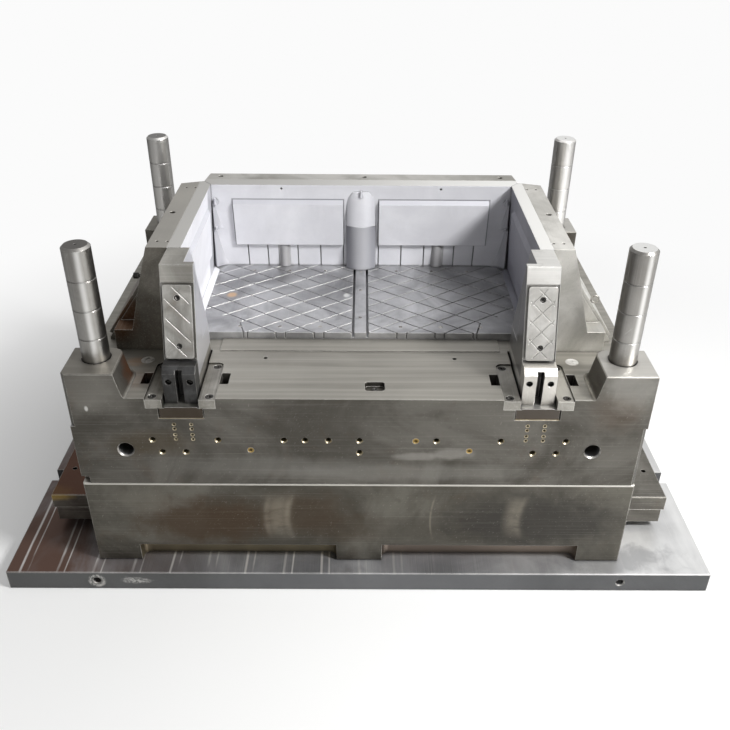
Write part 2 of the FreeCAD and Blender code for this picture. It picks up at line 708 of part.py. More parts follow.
# Floor inserts with the crossed rib grooves of the moulding
def lattice_cuts():
    region = prism_z([(-BAR_HALF, FLOOR_FRONT - 5), (PANEL_CORNER_X, FLOOR_FRONT - 5),
                      (PANEL_INNER_X, PANEL_INNER_Y), (-FLOOR_HALF - 5, PANEL_SIDE_Y),
                      (-FLOOR_HALF - 5, FLOOR_BACK + 5), (-BAR_HALF, FLOOR_BACK + 5)],
                     Z_FLOOR - LATTICE_D, Z_FLOOR + 1)
    length = FLOOR_HALF * 2.2
    angle = math.degrees(math.atan(LATTICE_SLOPE))
    strips = []
    for first, turn, steps in ((LATTICE_A, angle, range(-1, 8)), (LATTICE_B, -angle, range(-6, 4))):
        for k in steps:
            hit = first - k * LATTICE_PITCH
            strip = box(-length, length, -LATTICE_W / 2, LATTICE_W / 2, Z_FLOOR - LATTICE_D, Z_FLOOR + 1)
            strip.rotate(ZERO, Z_AXIS, turn)
            strip.translate(vec(hit, FLOOR_FRONT, 0))
            strips.append(strip.common(region))
    edge = math.degrees(math.atan2(PANEL_INNER_Y - FLOOR_FRONT, PANEL_INNER_X - PANEL_CORNER_X))
    run = math.hypot(PANEL_INNER_Y - FLOOR_FRONT, PANEL_INNER_X - PANEL_CORNER_X)
    stub = box(0, run, -LATTICE_W / 2, LATTICE_W / 2, Z_FLOOR - LATTICE_D, Z_FLOOR + 1)
    stub.rotate(ZERO, Z_AXIS, edge)
    stub.translate(vec(PANEL_CORNER_X, FLOOR_FRONT, 0))
    strips.append(stub)
    hits = [LATTICE_A - k * LATTICE_PITCH for k in range(3)]
    hits += [LATTICE_B - k * LATTICE_PITCH for k in range(2)] + [PANEL_CORNER_X]
    for hit in hits:
        strips.append(box(hit - LATTICE_W / 2, hit + LATTICE_W / 2, FLOOR_FRONT - 1, FLOOR_FRONT + LATTICE_D,
                          Z_LAND + LAND_UP, Z_FLOOR + 1))
    return [strip for strip in strips if strip.Volume > 1]


def floor_insert():
    block = floor_outline(0, Z_POCKET, Z_FLOOR)
    block = block.common(box(-FLOOR_HALF, -BAR_HALF - SEAT, FLOOR_FRONT, FLOOR_BACK, Z_POCKET, Z_FLOOR))
    holes = [rod(EJ_PIN_R + RUN, x, y, Z_POCKET - 1, FLOOR_T + 2) for x, y in EJ_PIN_SPOTS if x < 0]
    return block.cut(lattice_cuts() + holes)


def floor_bar():
    step = Z_FLOOR - BAR_STEP
    outline = [(-BAR_HALF, Z_POCKET), (-BAR_HALF, step), (-BAR_TOP_HALF, step), (-BAR_TOP_HALF, Z_FLOOR),
               (BAR_TOP_HALF, Z_FLOOR), (BAR_TOP_HALF, step), (BAR_HALF, step), (BAR_HALF, Z_POCKET)]
    bar = prism_y(outline, FLOOR_FRONT, FLOOR_BACK)
    holes = [rod(EJ_PIN_R + RUN, x, y, Z_POCKET - 1, FLOOR_T + 2) for x, y in EJ_PIN_SPOTS if x == 0]
    return bar.cut(holes)


# Gib of the corner slide and its screws
def outer_gib():
    gib = gib_outline(0, Z_GIB, Z_GIB_TOP)
    cuts = []
    for y in (FRONT + GIB_SCREW_IN, GIB_BACK - GIB_SCREW_IN):
        cuts.append(rod(GIB_SCREW_R + RUN, gib_screw_x(), y, Z_GIB - 1, GIB_T + 2))
        cuts.append(rod(GIB_HEAD_R + SCREW_GAP, gib_screw_x(), y, Z_GIB_TOP - GIB_HEAD_T, GIB_HEAD_T + 1))
    return gib.cut(cuts)


def gib_screws():
    screws = []
    for y in (FRONT + GIB_SCREW_IN, GIB_BACK - GIB_SCREW_IN):
        shank = GIB_T - GIB_HEAD_T + GIB_SCREW_BITE
        screw = cap_screw(GIB_SCREW_R, GIB_HEAD_R, GIB_HEAD_T, gib_screw_x(), y, Z_GIB_TOP, shank, -Z_AXIS)
        for one in both_gibs(screw):
            screws += [one, mirror_x(one)]
    return screws


# T rails that the wall slides run on, with their screws
def t_rail(kind, sign, mid):
    start = SIDE_T_START if kind == "x" else REAR_T_START
    end = SIDE_T_END if kind == "x" else REAR_T_END
    base = along(kind, sign, start, end, mid, T_BASE_HALF, Z_LAND - T_BASE_D, Z_LAND)
    neck = along(kind, sign, start, end, mid, T_NECK_HALF, Z_LAND, Z_LAND + T_NECK_H)
    head_z = Z_LAND + T_NECK_H
    head = along(kind, sign, start, end, mid, T_HEAD_HALF, head_z, head_z + T_HEAD_H)
    rail = fuse([base, neck, head])
    holes = []
    for spot in t_screw_spots(kind, sign, mid):
        low = Z_LAND - T_BASE_D
        top = head_z + T_HEAD_H
        holes.append(rod(T_SCREW_R + RUN, spot[0], spot[1], low - 1, top - low + 2))
        head_hole_r = T_SCREW_R * SCREW_HEAD_SHARE + RUN
        holes.append(rod(head_hole_r, spot[0], spot[1], top - T_SCREW_R, T_SCREW_R + 1))
    return rail.cut(holes)


def t_screw_spots(kind, sign, mid):
    start = SIDE_T_START if kind == "x" else REAR_T_START
    end = SIDE_T_END if kind == "x" else REAR_T_END
    inset = (end - start) / 4
    if kind == "x":
        return [(sign * (start + inset), mid), (sign * (end - inset), mid)]
    return [(mid, start + inset), (mid, end - inset)]


def t_slot(kind, sign, start, end, mid):
    neck = along(kind, sign, start, end, mid, T_NECK_HALF + SLIDE, Z_LAND, Z_LAND + T_NECK_H + 1)
    low = Z_LAND + T_NECK_H - SLIDE
    head = along(kind, sign, start, end, mid, T_HEAD_HALF + SLIDE, low, low + T_HEAD_H + 2 * SLIDE)
    return [neck, head]


# Wall slides: heel block, moulding insert, wear plate on the locking wedge
def heel_outline(seam, out):
    top = Z_WALL
    foot = out + HEEL_FOOT
    return [(seam, Z_SLIDE), (seam, top), (out, top), (out + HEEL_KNEE[0], top - HEEL_KNEE[1]),
            (out + HEEL_BEND[0], top - HEEL_BEND[1]), (out + HEEL_WAIST[0], top - HEEL_WAIST[1]),
            (foot, top - HEEL_WAIST[1]), (foot, Z_SLIDE)]


def wedge_line(out, sink):
    # outer slope of the locking wedge, moved inwards by sink
    upper = (out + HEEL_BEND[0], Z_WALL - HEEL_BEND[1])
    lower = (out + WEDGE_FOOT[0], Z_WALL - WEDGE_FOOT[1])
    run = math.hypot(lower[0] - upper[0], upper[1] - lower[1])
    step = ((upper[1] - lower[1]) / run * sink, (lower[0] - upper[0]) / run * sink)
    return [(upper[0] - step[0], upper[1] - step[1]), (lower[0] - step[0], lower[1] - step[1])]


def wedge_outline(seam, out):
    upper, lower = wedge_line(out, HEEL_PLATE_T)
    return [(seam, Z_SLIDE), (seam, upper[1]), upper, lower, (lower[0], Z_SLIDE)]


def heel_plate_outline(out):
    outer_a, outer_b = wedge_line(out, 0)
    inner_a, inner_b = wedge_line(out, HEEL_PLATE_T)
    length = math.hypot(outer_b[0] - outer_a[0], outer_b[1] - outer_a[1])
    share = HEEL_PLATE_EDGE / length

    def slid(a, b, t):
        return (a[0] + (b[0] - a[0]) * t, a[1] + (b[1] - a[1]) * t)

    return [slid(outer_a, outer_b, share), slid(outer_a, outer_b, 1 - share),
            slid(inner_a, inner_b, 1 - share), slid(inner_a, inner_b, share)]


def wall_face_x(z):
    share = (Z_WALL - z) / (Z_WALL - Z_FLOOR)
    return SIDE_TOP_X + (SIDE_FOOT_X - SIDE_TOP_X) * share


def wall_face_y(z):
    share = (Z_WALL - z) / (Z_WALL - Z_FLOOR)
    return REAR_TOP_Y + (REAR_FOOT_Y - REAR_TOP_Y) * share


def side_plan():
    slope = (MITRE_Y - REAR_TOP_Y) / (MITRE_X - SIDE_TOP_X)
    inner = FLOOR_HALF - 5
    inner_y = REAR_TOP_Y - slope * (SIDE_TOP_X - inner)
    far = SIDE_OUT_X + WEDGE_FOOT[0] + 20
    return prism_z([(inner, SIDE_FRONT_Y), (far, SIDE_FRONT_Y), (far, SIDE_BACK_Y), (SIDE_OUT_X, SIDE_BACK_Y),
                    (MITRE_X, MITRE_Y - MITRE_GAP), (inner, inner_y - MITRE_GAP)], Z_LAND - 1, Z_WALL + 1)


def side_insert():
    ledge = FLOOR_HALF + SLIDE
    outline = [(SIDE_TOP_X, Z_WALL), (SIDE_FOOT_X, Z_FLOOR), (ledge, Z_FLOOR), (ledge, Z_SLIDE),
               (SIDE_SEAM_X, Z_SLIDE), (SIDE_SEAM_X, Z_WALL)]
    insert = prism_y(outline, SIDE_FRONT_Y, MITRE_Y).common(side_plan())
    low = Z_FLOOR + PANEL_LOW
    high = Z_FLOOR + PANEL_HIGH
    panel = [(wall_face_x(low) + 1, low), (wall_face_x(low) - PANEL_PROUD, low),
             (wall_face_x(high) - PANEL_PROUD, high),
             (wall_face_x(high + PANEL_SLOPE), high + PANEL_SLOPE), (wall_face_x(high) + 1, high)]
    raised = prism_y(panel, SIDE_FRONT_Y + SIDE_PANEL_FRONT, REAR_TOP_Y - SIDE_PANEL_BACK)
    return fuse([insert, raised])


def side_block():
    out = SIDE_OUT_X
    main = prism_y(heel_outline(SIDE_SEAM_X, out), SIDE_FRONT_Y, MITRE_Y).common(side_plan())
    wedge = prism_y(wedge_outline(SIDE_SEAM_X, out), WEDGE_FRONT_Y, WEDGE_BACK_Y)
    block = fuse([main, wedge])
    cuts = [heel_plate_blank(out, "x")]
    for y in SIDE_T_Y:
        cuts += t_slot("x", 1, SIDE_SEAM_X - 1, out + WEDGE_FOOT[0] + 5, y)
    mid_x = (SIDE_SEAM_X + out) / 2 + TOP_HOLE_OUT
    mid_y = (SIDE_FRONT_Y + SIDE_BACK_Y) / 2
    cuts.append(rod(TOP_HOLE_R, mid_x, mid_y, Z_WALL - TOP_HOLE_DEPTH, TOP_HOLE_DEPTH + 1))
    for y in (SIDE_FRONT_Y + DOWEL_IN, SIDE_BACK_Y - DOWEL_IN):
        for x in (SIDE_SEAM_X + DOWEL_SEAM, out - DOWEL_OUT):
            cuts.append(rod(DOWEL_R, x, y, Z_WALL - DOWEL_DEPTH, DOWEL_DEPTH + 1))
    cuts += heel_screw_holes(out, "x")
    return block.cut(cuts)


def heel_frame(out):
    # middle of the wear plate's outer face, its outward normal and its line down the slope
    upper, lower = wedge_line(out, 0)
    run = math.hypot(lower[0] - upper[0], upper[1] - lower[1])
    normal = ((upper[1] - lower[1]) / run, (lower[0] - upper[0]) / run)
    mid = ((upper[0] + lower[0]) / 2, (upper[1] + lower[1]) / 2)
    down = ((lower[0] - upper[0]) / run, (lower[1] - upper[1]) / run)
    return mid, normal, down, run


def heel_screw_spots(out, kind):
    mid, normal, down, run = heel_frame(out)
    if kind == "x":
        middle = (WEDGE_FRONT_Y + WEDGE_BACK_Y) / 2
        sides = (WEDGE_FRONT_Y + HEEL_SCREW_IN, middle, WEDGE_BACK_Y - HEEL_SCREW_IN)
    else:
        sides = (-REAR_WEDGE_HALF + HEEL_SCREW_IN, 0.0, REAR_WEDGE_HALF - HEEL_SCREW_IN)
    spots = []
    for side in sides:
        for share in (-HEEL_SCREW_SHARE, HEEL_SCREW_SHARE):
            a = mid[0] + down[0] * run * share
            z = mid[1] + down[1] * run * share
            point = vec(a, side, z) if kind == "x" else vec(side, a, z)
            inward = vec(-normal[0], 0, -normal[1]) if kind == "x" else vec(0, -normal[0], -normal[1])
            spots.append((point, inward))
    return spots


def heel_screw_holes(out, kind):
    length = HEEL_SCREW_L + 6
    spots = heel_screw_spots(out, kind)
    return [Part.makeCylinder(HEEL_SCREW_R + RUN, length, point, inward) for point, inward in spots]


def heel_screws(out, kind):
    screws = []
    for point, inward in heel_screw_spots(out, kind):
        start = point + inward * 1.0
        head = Part.makeCone(HEEL_SCREW_R * 1.8, HEEL_SCREW_R, 4, start, inward)
        shank = Part.makeCylinder(HEEL_SCREW_R, HEEL_SCREW_L, start, inward)
        socket = hex_prism(HEEL_SCREW_R, start.x, start.y, start.z, 3, inward)
        screws.append(head.fuse(shank).cut(socket).removeSplitter())
    return screws


def heel_plate_blank(out, kind):
    outline = heel_plate_outline(out)
    if kind == "x":
        return prism_y(outline, WEDGE_FRONT_Y + HEEL_PLATE_EDGE, WEDGE_BACK_Y - HEEL_PLATE_EDGE)
    return prism_x(outline, -REAR_WEDGE_HALF + HEEL_PLATE_EDGE, REAR_WEDGE_HALF - HEEL_PLATE_EDGE)


def heel_plate(out, kind):
    plate = heel_plate_blank(out, kind)
    cuts = []
    for point, inward in heel_screw_spots(out, kind):
        start = point - inward * 1.0
        cuts.append(Part.makeCone(HEEL_SCREW_R * 1.8 + RUN + 2, HEEL_SCREW_R + RUN, 6, start, inward))
        cuts.append(Part.makeCylinder(HEEL_SCREW_R + RUN, HEEL_SCREW_L, start, inward))
    mid, normal, down, run = heel_frame(out)
    ends = (WEDGE_FRONT_Y, WEDGE_BACK_Y) if kind == "x" else (-REAR_WEDGE_HALF, REAR_WEDGE_HALF)
    count = max(1, int((ends[1] - ends[0]) / HEEL_OIL_PITCH))
    pitch = (ends[1] - ends[0]) / count
    for k in range(count):
        side = ends[0] + pitch * (k + 0.5)
        groove = box(-run * 0.35, run * 0.35, -OIL_W / 2, OIL_W / 2, -OIL_D, 2)
        groove.rotate(ZERO, Z_AXIS, HEEL_OIL_TURN)
        tip = vec(down[0], 0, down[1]) if kind == "x" else vec(0, down[0], down[1])
        face = vec(normal[0], 0, normal[1]) if kind == "x" else vec(0, normal[0], normal[1])
        across = face.cross(tip)
        matrix = FreeCAD.Matrix(tip.x, across.x, face.x, 0, tip.y, across.y, face.y, 0,
                                tip.z, across.z, face.z, 0, 0, 0, 0, 1)
        place = FreeCAD.Placement(matrix)
        place.Base = vec(mid[0], side, mid[1]) if kind == "x" else vec(side, mid[0], mid[1])
        groove.Placement = place.multiply(groove.Placement)
        cuts.append(groove)
    return plate.cut(cuts)


# Rear wall: panels, rib slots, bosses and columns
def rear_plan(z0, z1):
    slope = (MITRE_Y - REAR_TOP_Y) / (MITRE_X - SIDE_TOP_X)
    inner = SIDE_TOP_X - MITRE_REACH
    inner_y = REAR_TOP_Y - slope * MITRE_REACH
    right = [(REAR_HALF_BACK, REAR_OUT_Y), (MITRE_X - MITRE_GAP, MITRE_Y + 1), (inner, inner_y)]
    left = [(-x, y) for x, y in reversed(right)]
    return prism_z(right + left + [(-REAR_HALF_BACK, FAR), (REAR_HALF_BACK, FAR)], z0, z1)


def arc_column(mid_x, half, sag, y_face, z0, z1):
    # a shallow round column: the arc stands sag in front of the wall face
    radius = (half * half + sag * sag) / (2 * sag)
    column = rod(radius, mid_x, y_face - sag + radius, z0, z1 - z0)
    keep = box(mid_x - half, mid_x + half, y_face - sag - 1, y_face + 12, z0, z1)
    return column.common(keep)


def corner_fill(radius, z0, z1):
    # rounds the upright inner corner of the moulding space on the right
    y_face = wall_face_y(z0)
    x_face = wall_face_x(z0)
    block = box(x_face - radius, x_face + 20, y_face - radius, y_face + 12, z0, z1)
    hollow = rod(radius, x_face - radius, y_face - radius, z0 - 1, z1 - z0 + 2)
    lean = [(wall_face_x(z0) - 0.5, z0), (wall_face_x(z1) - 0.5, z1), (0, z1), (0, z0)]
    fill = block.cut(hollow).common(prism_y(lean, -FAR, FAR))
    return fill.common(rear_plan(z0 - 1, z1 + 1))


def cone_on(x, y, z):
    return Part.makeCone(CONE_R, CONE_TIP_R, CONE_H, vec(x, y, z - CONE_ROOT), vec(0, -0.5, 1))


def rear_insert():
    outline = [(REAR_TOP_Y, Z_WALL), (REAR_FOOT_Y, Z_FLOOR), (REAR_FOOT_Y, Z_SLIDE),
               (REAR_SEAM_Y, Z_SLIDE), (REAR_SEAM_Y, Z_WALL)]
    body = prism_x(outline, -MITRE_X, MITRE_X).common(rear_plan(Z_LAND - 1, Z_WALL + 1))
    low = Z_FLOOR + PANEL_LOW
    high = Z_FLOOR + PANEL_HIGH
    panel = [(wall_face_y(low) + 2, low), (wall_face_y(low) - PANEL_PROUD, low),
             (wall_face_y(high) - PANEL_PROUD, high),
             (wall_face_y(high + PANEL_SLOPE), high + PANEL_SLOPE), (wall_face_y(high) + 2, high)]
    adds = [body]
    ledge = Z_FLOOR + COLUMN_LEDGE
    shoulder = Z_FLOOR + COLUMN_SHOULDER
    top = Z_FLOOR + COLUMN_TOP
    above = Z_FLOOR + SLIDE
    lower = arc_column(0, COLUMN_HALF, COLUMN_LOW_SAG, wall_face_y(ledge), above, ledge)
    upper = arc_column(0, COLUMN_HALF - 2, COLUMN_UP_SAG, wall_face_y(shoulder), ledge, top)
    eave = COLUMN_HALF + 5
    roof = [(-eave, shoulder), (-BAR_HALF, top + 1), (BAR_HALF, top + 1),
            (eave, shoulder), (eave, ledge - 1), (-eave, ledge - 1)]
    upper = upper.common(prism_y(roof, -FAR, FAR))
    adds += [lower, upper]
    for sign in (-1, 1):
        x0, x1 = sorted((sign * PANEL_IN_X, sign * PANEL_OUT_X))
        adds.append(prism_x(panel, x0, x1))
        boss = rod(BOSS_R, sign * BOSS_X, wall_face_y(Z_FLOOR) + BOSS_BACK, above, PANEL_LOW)
        adds.append(boss.common(box(-FAR, FAR, -FAR, REAR_SEAM_Y, Z_FLOOR, Z_WALL)))
        corner_top = Z_FLOOR + CORNER_LEDGE
        pair = [corner_fill(CORNER_LOW_R, above, corner_top),
                corner_fill(CORNER_UP_R, corner_top, shoulder)]
        adds += pair if sign > 0 else [mirror_x(one) for one in pair]
        # the ledge between the two corner roundings, measured along the bisector
        inset = (CORNER_LOW_R + CORNER_UP_R) / 2 * (1 - math.sqrt(0.5))
        stud_x = sign * (wall_face_x(corner_top) - inset)
        stud_y = wall_face_y(corner_top) - inset
        adds.append(rod(STUD_R, stud_x, stud_y, corner_top - CONE_ROOT, STUD_H + CONE_ROOT))
        cone_x = wall_face_x(shoulder) - CORNER_CONE_IN
        adds.append(cone_on(sign * cone_x, wall_face_y(shoulder) - CONE_R / 2, shoulder))
    adds.append(cone_on(0, wall_face_y(top) - CONE_TIP_R, top - CONE_H / 2))
    body = fuse(adds)
    cuts = []
    for sign in (-1, 1):
        for x in RIB_X:
            mid = sign * x
            face = wall_face_y(Z_FLOOR)
            cuts.append(box(mid - RIB_W / 2, mid + RIB_W / 2, REAR_TOP_Y, face + RIB_D / 2, Z_FLOOR - 1, low))
        hole_y = wall_face_y(Z_WALL - PIN_HOLE_DOWN) - 1
        cuts.append(rod(PIN_HOLE_R, sign * BOSS_X, hole_y, Z_WALL - PIN_HOLE_DOWN, PIN_HOLE_DEPTH, Y_AXIS))
    return body.cut(cuts)


def rear_block():
    main = prism_x(heel_outline(REAR_SEAM_Y, REAR_OUT_Y), -MITRE_X, MITRE_X)
    main = main.common(rear_plan(Z_LAND - 1, Z_WALL + 1))
    wedge = prism_x(wedge_outline(REAR_SEAM_Y, REAR_OUT_Y), -REAR_WEDGE_HALF, REAR_WEDGE_HALF)
    block = fuse([main, wedge])
    cuts = [heel_plate_blank(REAR_OUT_Y, "y")]
    for x in REAR_T_X:
        cuts += t_slot("y", 1, REAR_SEAM_Y - 1, REAR_OUT_Y + WEDGE_FOOT[0] + 5, x)
    mid_y = (REAR_SEAM_Y + REAR_OUT_Y) / 2
    for x, depth in REAR_TOP_HOLES:
        cuts.append(rod(TOP_HOLE_R, x, mid_y, Z_WALL - depth, depth + 1))
    cuts += heel_screw_holes(REAR_OUT_Y, "y")
    return block.cut(cuts)


# Corner slide: leaning post on a flanged foot, coupling block, wear plate
def post_face_y(z):
    share = (Z_WALL - z) / (Z_WALL - Z_LEDGE)
    return POST_TOP_Y + (POST_LEDGE_Y - POST_TOP_Y) * share


def tilted(shape):
    # from a frame whose z runs up the leaning face and whose -y points out of it
    turn = FreeCAD.Placement(vec(POST_X, POST_LEDGE_Y, Z_LEDGE), FreeCAD.Rotation(X_AXIS, -TILT))
    shape.Placement = turn.multiply(shape.Placement)
    return shape


def foot_top():
    return Z_GIB + NECK_RISE


def corner_slide():
    outline = [(POST_BACK, foot_top()), (POST_BACK, Z_WALL), (POST_TOP_Y, Z_WALL), (POST_LEDGE_Y, Z_LEDGE),
               (POST_LEDGE_Y, foot_top())]
    post = prism_x(outline, POST_X - POST_HALF, POST_X + POST_HALF)
    foot_z = Z_SLOT + SLIDE
    flange = box(POST_X - FOOT_HALF, POST_X + FOOT_HALF, FOOT_FRONT, GIB_BACK, foot_z, Z_GIB - SLIDE)
    neck = box(POST_X - POST_HALF, POST_X + POST_HALF, FOOT_FRONT, POST_BACK, foot_z, foot_top())
    slide = fuse([post, flange, neck])
    inner = POST_X - POST_HALF
    notch = [(inner - 1, Z_WALL - NOTCH_H), (inner + 0.5, Z_WALL - NOTCH_H), (inner + NOTCH_D, Z_WALL + 1),
             (inner - 1, Z_WALL + 1)]
    wide = CORNER_PLATE_W / 2 + CORNER_PLATE_GAP
    sink = tilted(box(-wide, wide, -20, CORNER_PLATE_SINK, 0, CORNER_PLATE_L + 2 * CORNER_PLATE_GAP))
    low = box(inner - 1, inner + 2 * POST_HALF + 1, FOOT_FRONT, POST_BACK, Z_GIB, Z_LEDGE)
    cuts = [prism_y(notch, FLANGE_Y, POST_BACK + 1), sink.cut(low)]
    for x in (-CHEEK_SCREW_X, CHEEK_SCREW_X):
        cuts.append(rod(CHEEK_SHANK_R + RUN, POST_X + x, POST_LEDGE_Y - 1, cheek_z(), CHEEK_BITE + 7, Y_AXIS))
    cuts += [tilted(hole) for hole in plate_screw_tools(PLATE_SCREW_R + RUN, PLATE_SCREW_L + 8)]
    return slide.cut(cuts)


def cheek_z():
    return foot_top() + CHEEK_SCREW_Z


def plate_screw_tools(radius, length):
    low = CORNER_PLATE_GAP + PLATE_SCREW_IN
    high = CORNER_PLATE_GAP + CORNER_PLATE_L - PLATE_SCREW_IN
    front = CORNER_PLATE_SINK - CORNER_PLATE_T
    return [rod(radius, 0, front, z, length, Y_AXIS) for z in (low, high)]


def corner_plate(crossed):
    back = CORNER_PLATE_SINK
    front = back - CORNER_PLATE_T
    half = CORNER_PLATE_W / 2
    low = CORNER_PLATE_GAP
    plate = box(-half, half, front, back, low, low + CORNER_PLATE_L)
    corners = edges_where(plate, lambda b: b.YLength > 1 and b.XLength < 0.01 and b.ZLength < 0.01)
    plate = plate.makeFillet(CORNER_PLATE_R, corners)
    cuts = []
    turns = (45, -45) if crossed else (45,)
    for turn in turns:
        for k in range(-1, 5):
            groove = box(-CORNER_PLATE_L, CORNER_PLATE_L, front - 1, front + OIL_D, -OIL_W / 2, OIL_W / 2)
            groove.rotate(ZERO, Y_AXIS, -turn)
            groove.translate(vec(0, 0, low + OIL_PITCH * (k + 0.5)))
            cuts.append(groove)
    keep = box(-half + 5, half - 5, front - 2, back, low + 5, low + CORNER_PLATE_L - 5)
    cuts = [groove.common(keep) for groove in cuts]
    cuts = [groove for groove in cuts if groove.Volume > 1]
    for z in (low + PLATE_SCREW_IN, low + CORNER_PLATE_L - PLATE_SCREW_IN):
        cuts.append(rod(PLATE_SCREW_R + RUN, 0, front - 1, z, CORNER_PLATE_T + 2, Y_AXIS))
        cuts.append(rod(PLATE_SCREW_R * SCREW_HEAD_SHARE + RUN, 0, front - 1, z, PLATE_HEAD_T + 2, Y_AXIS))
    return tilted(plate.cut(cuts))


def corner_screws():
    screws = []
    front = CORNER_PLATE_SINK - CORNER_PLATE_T
    for z in (CORNER_PLATE_GAP + PLATE_SCREW_IN, CORNER_PLATE_GAP + CORNER_PLATE_L - PLATE_SCREW_IN):
        head_r = PLATE_SCREW_R * SCREW_HEAD_SHARE
        screw = cap_screw(PLATE_SCREW_R, head_r, PLATE_HEAD_T, 0, front + 1, z, PLATE_SCREW_L, Y_AXIS)
        screws.append(tilted(screw))
    for x in (-CHEEK_SCREW_X, CHEEK_SCREW_X):
        y = COUPLING_FRONT + CHEEK_SINK
        shank = POST_LEDGE_Y - y - CHEEK_HEAD_T + CHEEK_BITE
        spot = (POST_X + x, y, cheek_z())
        screws.append(cap_screw(CHEEK_SHANK_R, CHEEK_SCREW_R, CHEEK_HEAD_T, *spot, shank, Y_AXIS))
    return screws


def coupling_block():
    bottom = foot_top()
    outline = [(POST_LEDGE_Y, bottom), (POST_LEDGE_Y, Z_LEDGE), (POST_LEDGE_Y - COUPLING_LIP, Z_LEDGE),
               (COUPLING_FRONT, Z_LEDGE - COUPLING_SHOULDER), (COUPLING_FRONT, bottom)]
    block = prism_x(outline, POST_X - POST_HALF, POST_X + POST_HALF)
    slot = box(POST_X - ROD_SLOT_W / 2, POST_X + ROD_SLOT_W / 2, COUPLING_FRONT - 1, POST_LEDGE_Y - ROD_BACK,
               bottom - 1, Z_LEDGE - ROD_TOP)
    head = box(POST_X - ROD_HEAD_W / 2, POST_X + ROD_HEAD_W / 2, COUPLING_FRONT + ROD_WEB,
               COUPLING_FRONT + ROD_WEB + ROD_HEAD_L, bottom - 1, Z_LEDGE - ROD_HEAD_TOP)
    cuts = [slot, head]
    for x in (-CHEEK_SCREW_X, CHEEK_SCREW_X):
        deep = POST_LEDGE_Y - COUPLING_FRONT + 2
        sink = CHEEK_SINK + CHEEK_HEAD_T + 1
        cuts.append(rod(CHEEK_SHANK_R + RUN, POST_X + x, COUPLING_FRONT - 1, cheek_z(), deep, Y_AXIS))
        cuts.append(rod(CHEEK_SCREW_R + SCREW_GAP, POST_X + x, COUPLING_FRONT - 1, cheek_z(), sink, Y_AXIS))
    return block.cut(cuts)


# Ejector plates, pins and guides
def retainer_plate():
    half = EJ_EDGE
    plate = box(-EJ_UPPER_L / 2, EJ_UPPER_L / 2, -half, half, Z_RETAIN, Z_EJ_TOP)
    plate = plate.makeChamfer(EDGE_BREAK, edges_where(plate, lambda b: b.ZMin > Z_EJ_TOP - 0.01))
    cuts = []
    for x, y in EJ_PIN_SPOTS:
        cuts.append(rod(EJ_PIN_R + RUN, x, y, Z_RETAIN - 1, EJ_T + 2))
        cuts.append(rod(EJ_HEAD_R + RUN, x, y, Z_RETAIN - 1, EJ_HEAD_T + 1 + SEAT))
    for x, y in RETURN_SPOTS:
        cuts.append(rod(RETURN_R + RUN, x, y, Z_RETAIN - 1, EJ_T + 2))
        cuts.append(rod(RETURN_HEAD_R + RUN, x, y, Z_RETAIN - 1, RETURN_HEAD_T + 1 + SEAT))
    for x, y in GUIDE_SPOTS:
        cuts.append(rod(BUSH_R + PRESS, x, y, Z_RETAIN - 1, EJ_T + 2))
        cuts.append(rod(BUSH_FLANGE_R + PRESS, x, y, Z_RETAIN - 1, BUSH_FLANGE_T + 1))
    for x, y in SUPPORT_SPOTS:
        cuts.append(rod(SUPPORT_R + SUPPORT_GAP, x, y, Z_RETAIN - 1, EJ_T + 2))
    for x, y in EJ_SCREW_SPOTS:
        cuts.append(rod(EJ_SCREW_R + RUN, x, y, Z_RETAIN - 1, EJ_T + 2))
    for x, y in four(EJ_HOLE_X, EJ_HOLE_Y):
        cuts.append(rod(EJ_HOLE_R, x, y, Z_RETAIN - 1, EJ_T + 2))
    return plate.cut(cuts)


def ejector_base():
    half = EJ_EDGE
    plate = box(-EJ_LOWER_L / 2, EJ_LOWER_L / 2, -half, half, Z_EJ, Z_RETAIN)
    cuts = []
    for x, y in GUIDE_SPOTS:
        cuts.append(rod(BUSH_R + PRESS, x, y, Z_EJ - 1, EJ_T + 2))
    for x, y in SUPPORT_SPOTS:
        cuts.append(rod(SUPPORT_R + SUPPORT_GAP, x, y, Z_EJ - 1, EJ_T + 2))
    for x, y in EJ_SCREW_SPOTS:
        cuts.append(rod(EJ_SCREW_R + RUN, x, y, Z_EJ - 1, EJ_T + 2))
        cuts.append(rod(EJ_SCREW_R * SCREW_HEAD_SHARE + SCREW_GAP, x, y, Z_EJ - 1, EJ_SCREW_R * 2 + 1))
    return plate.cut(cuts)


def headed_pin(radius, head_r, head_t, x, y, top):
    head = rod(head_r, x, y, Z_RETAIN, head_t)
    return rod(radius, x, y, Z_RETAIN, top - Z_RETAIN).fuse(head).removeSplitter()


def guide_bush(x, y):
    low = Z_RETAIN - BUSH_LONG
    sleeve = rod(BUSH_R, x, y, low, Z_EJ_TOP + BUSH_OUT - low)
    flange = rod(BUSH_FLANGE_R, x, y, Z_RETAIN, BUSH_FLANGE_T)
    bore = rod(GUIDE_R + RUN, x, y, low - 1, Z_EJ_TOP + BUSH_OUT - low + 2)
    return sleeve.fuse(flange).removeSplitter().cut(bore)


def water_plug(x, z):
    plug = rod(WATER_R - PRESS, x, FRONT + 0.5, Z_CORE + z, PLUG_T, Y_AXIS)
    return plug.cut(hex_prism(PLUG_HEX * 2, x, FRONT, Z_CORE + z, PLUG_T * 0.6, Y_AXIS))


def knob_face_x():
    share = (KNOB_DOWN - HEEL_KNEE[1]) / (HEEL_BEND[1] - HEEL_KNEE[1])
    return SIDE_OUT_X + HEEL_KNEE[0] + (HEEL_BEND[0] - HEEL_KNEE[0]) * share


def knob_stem(grow):
    start = knob_face_x() - KNOB_BITE
    return rod(KNOB_STEM_R + grow, start, KNOB_Y, Z_WALL - KNOB_DOWN, KNOB_BITE + KNOB_L, X_AXIS)


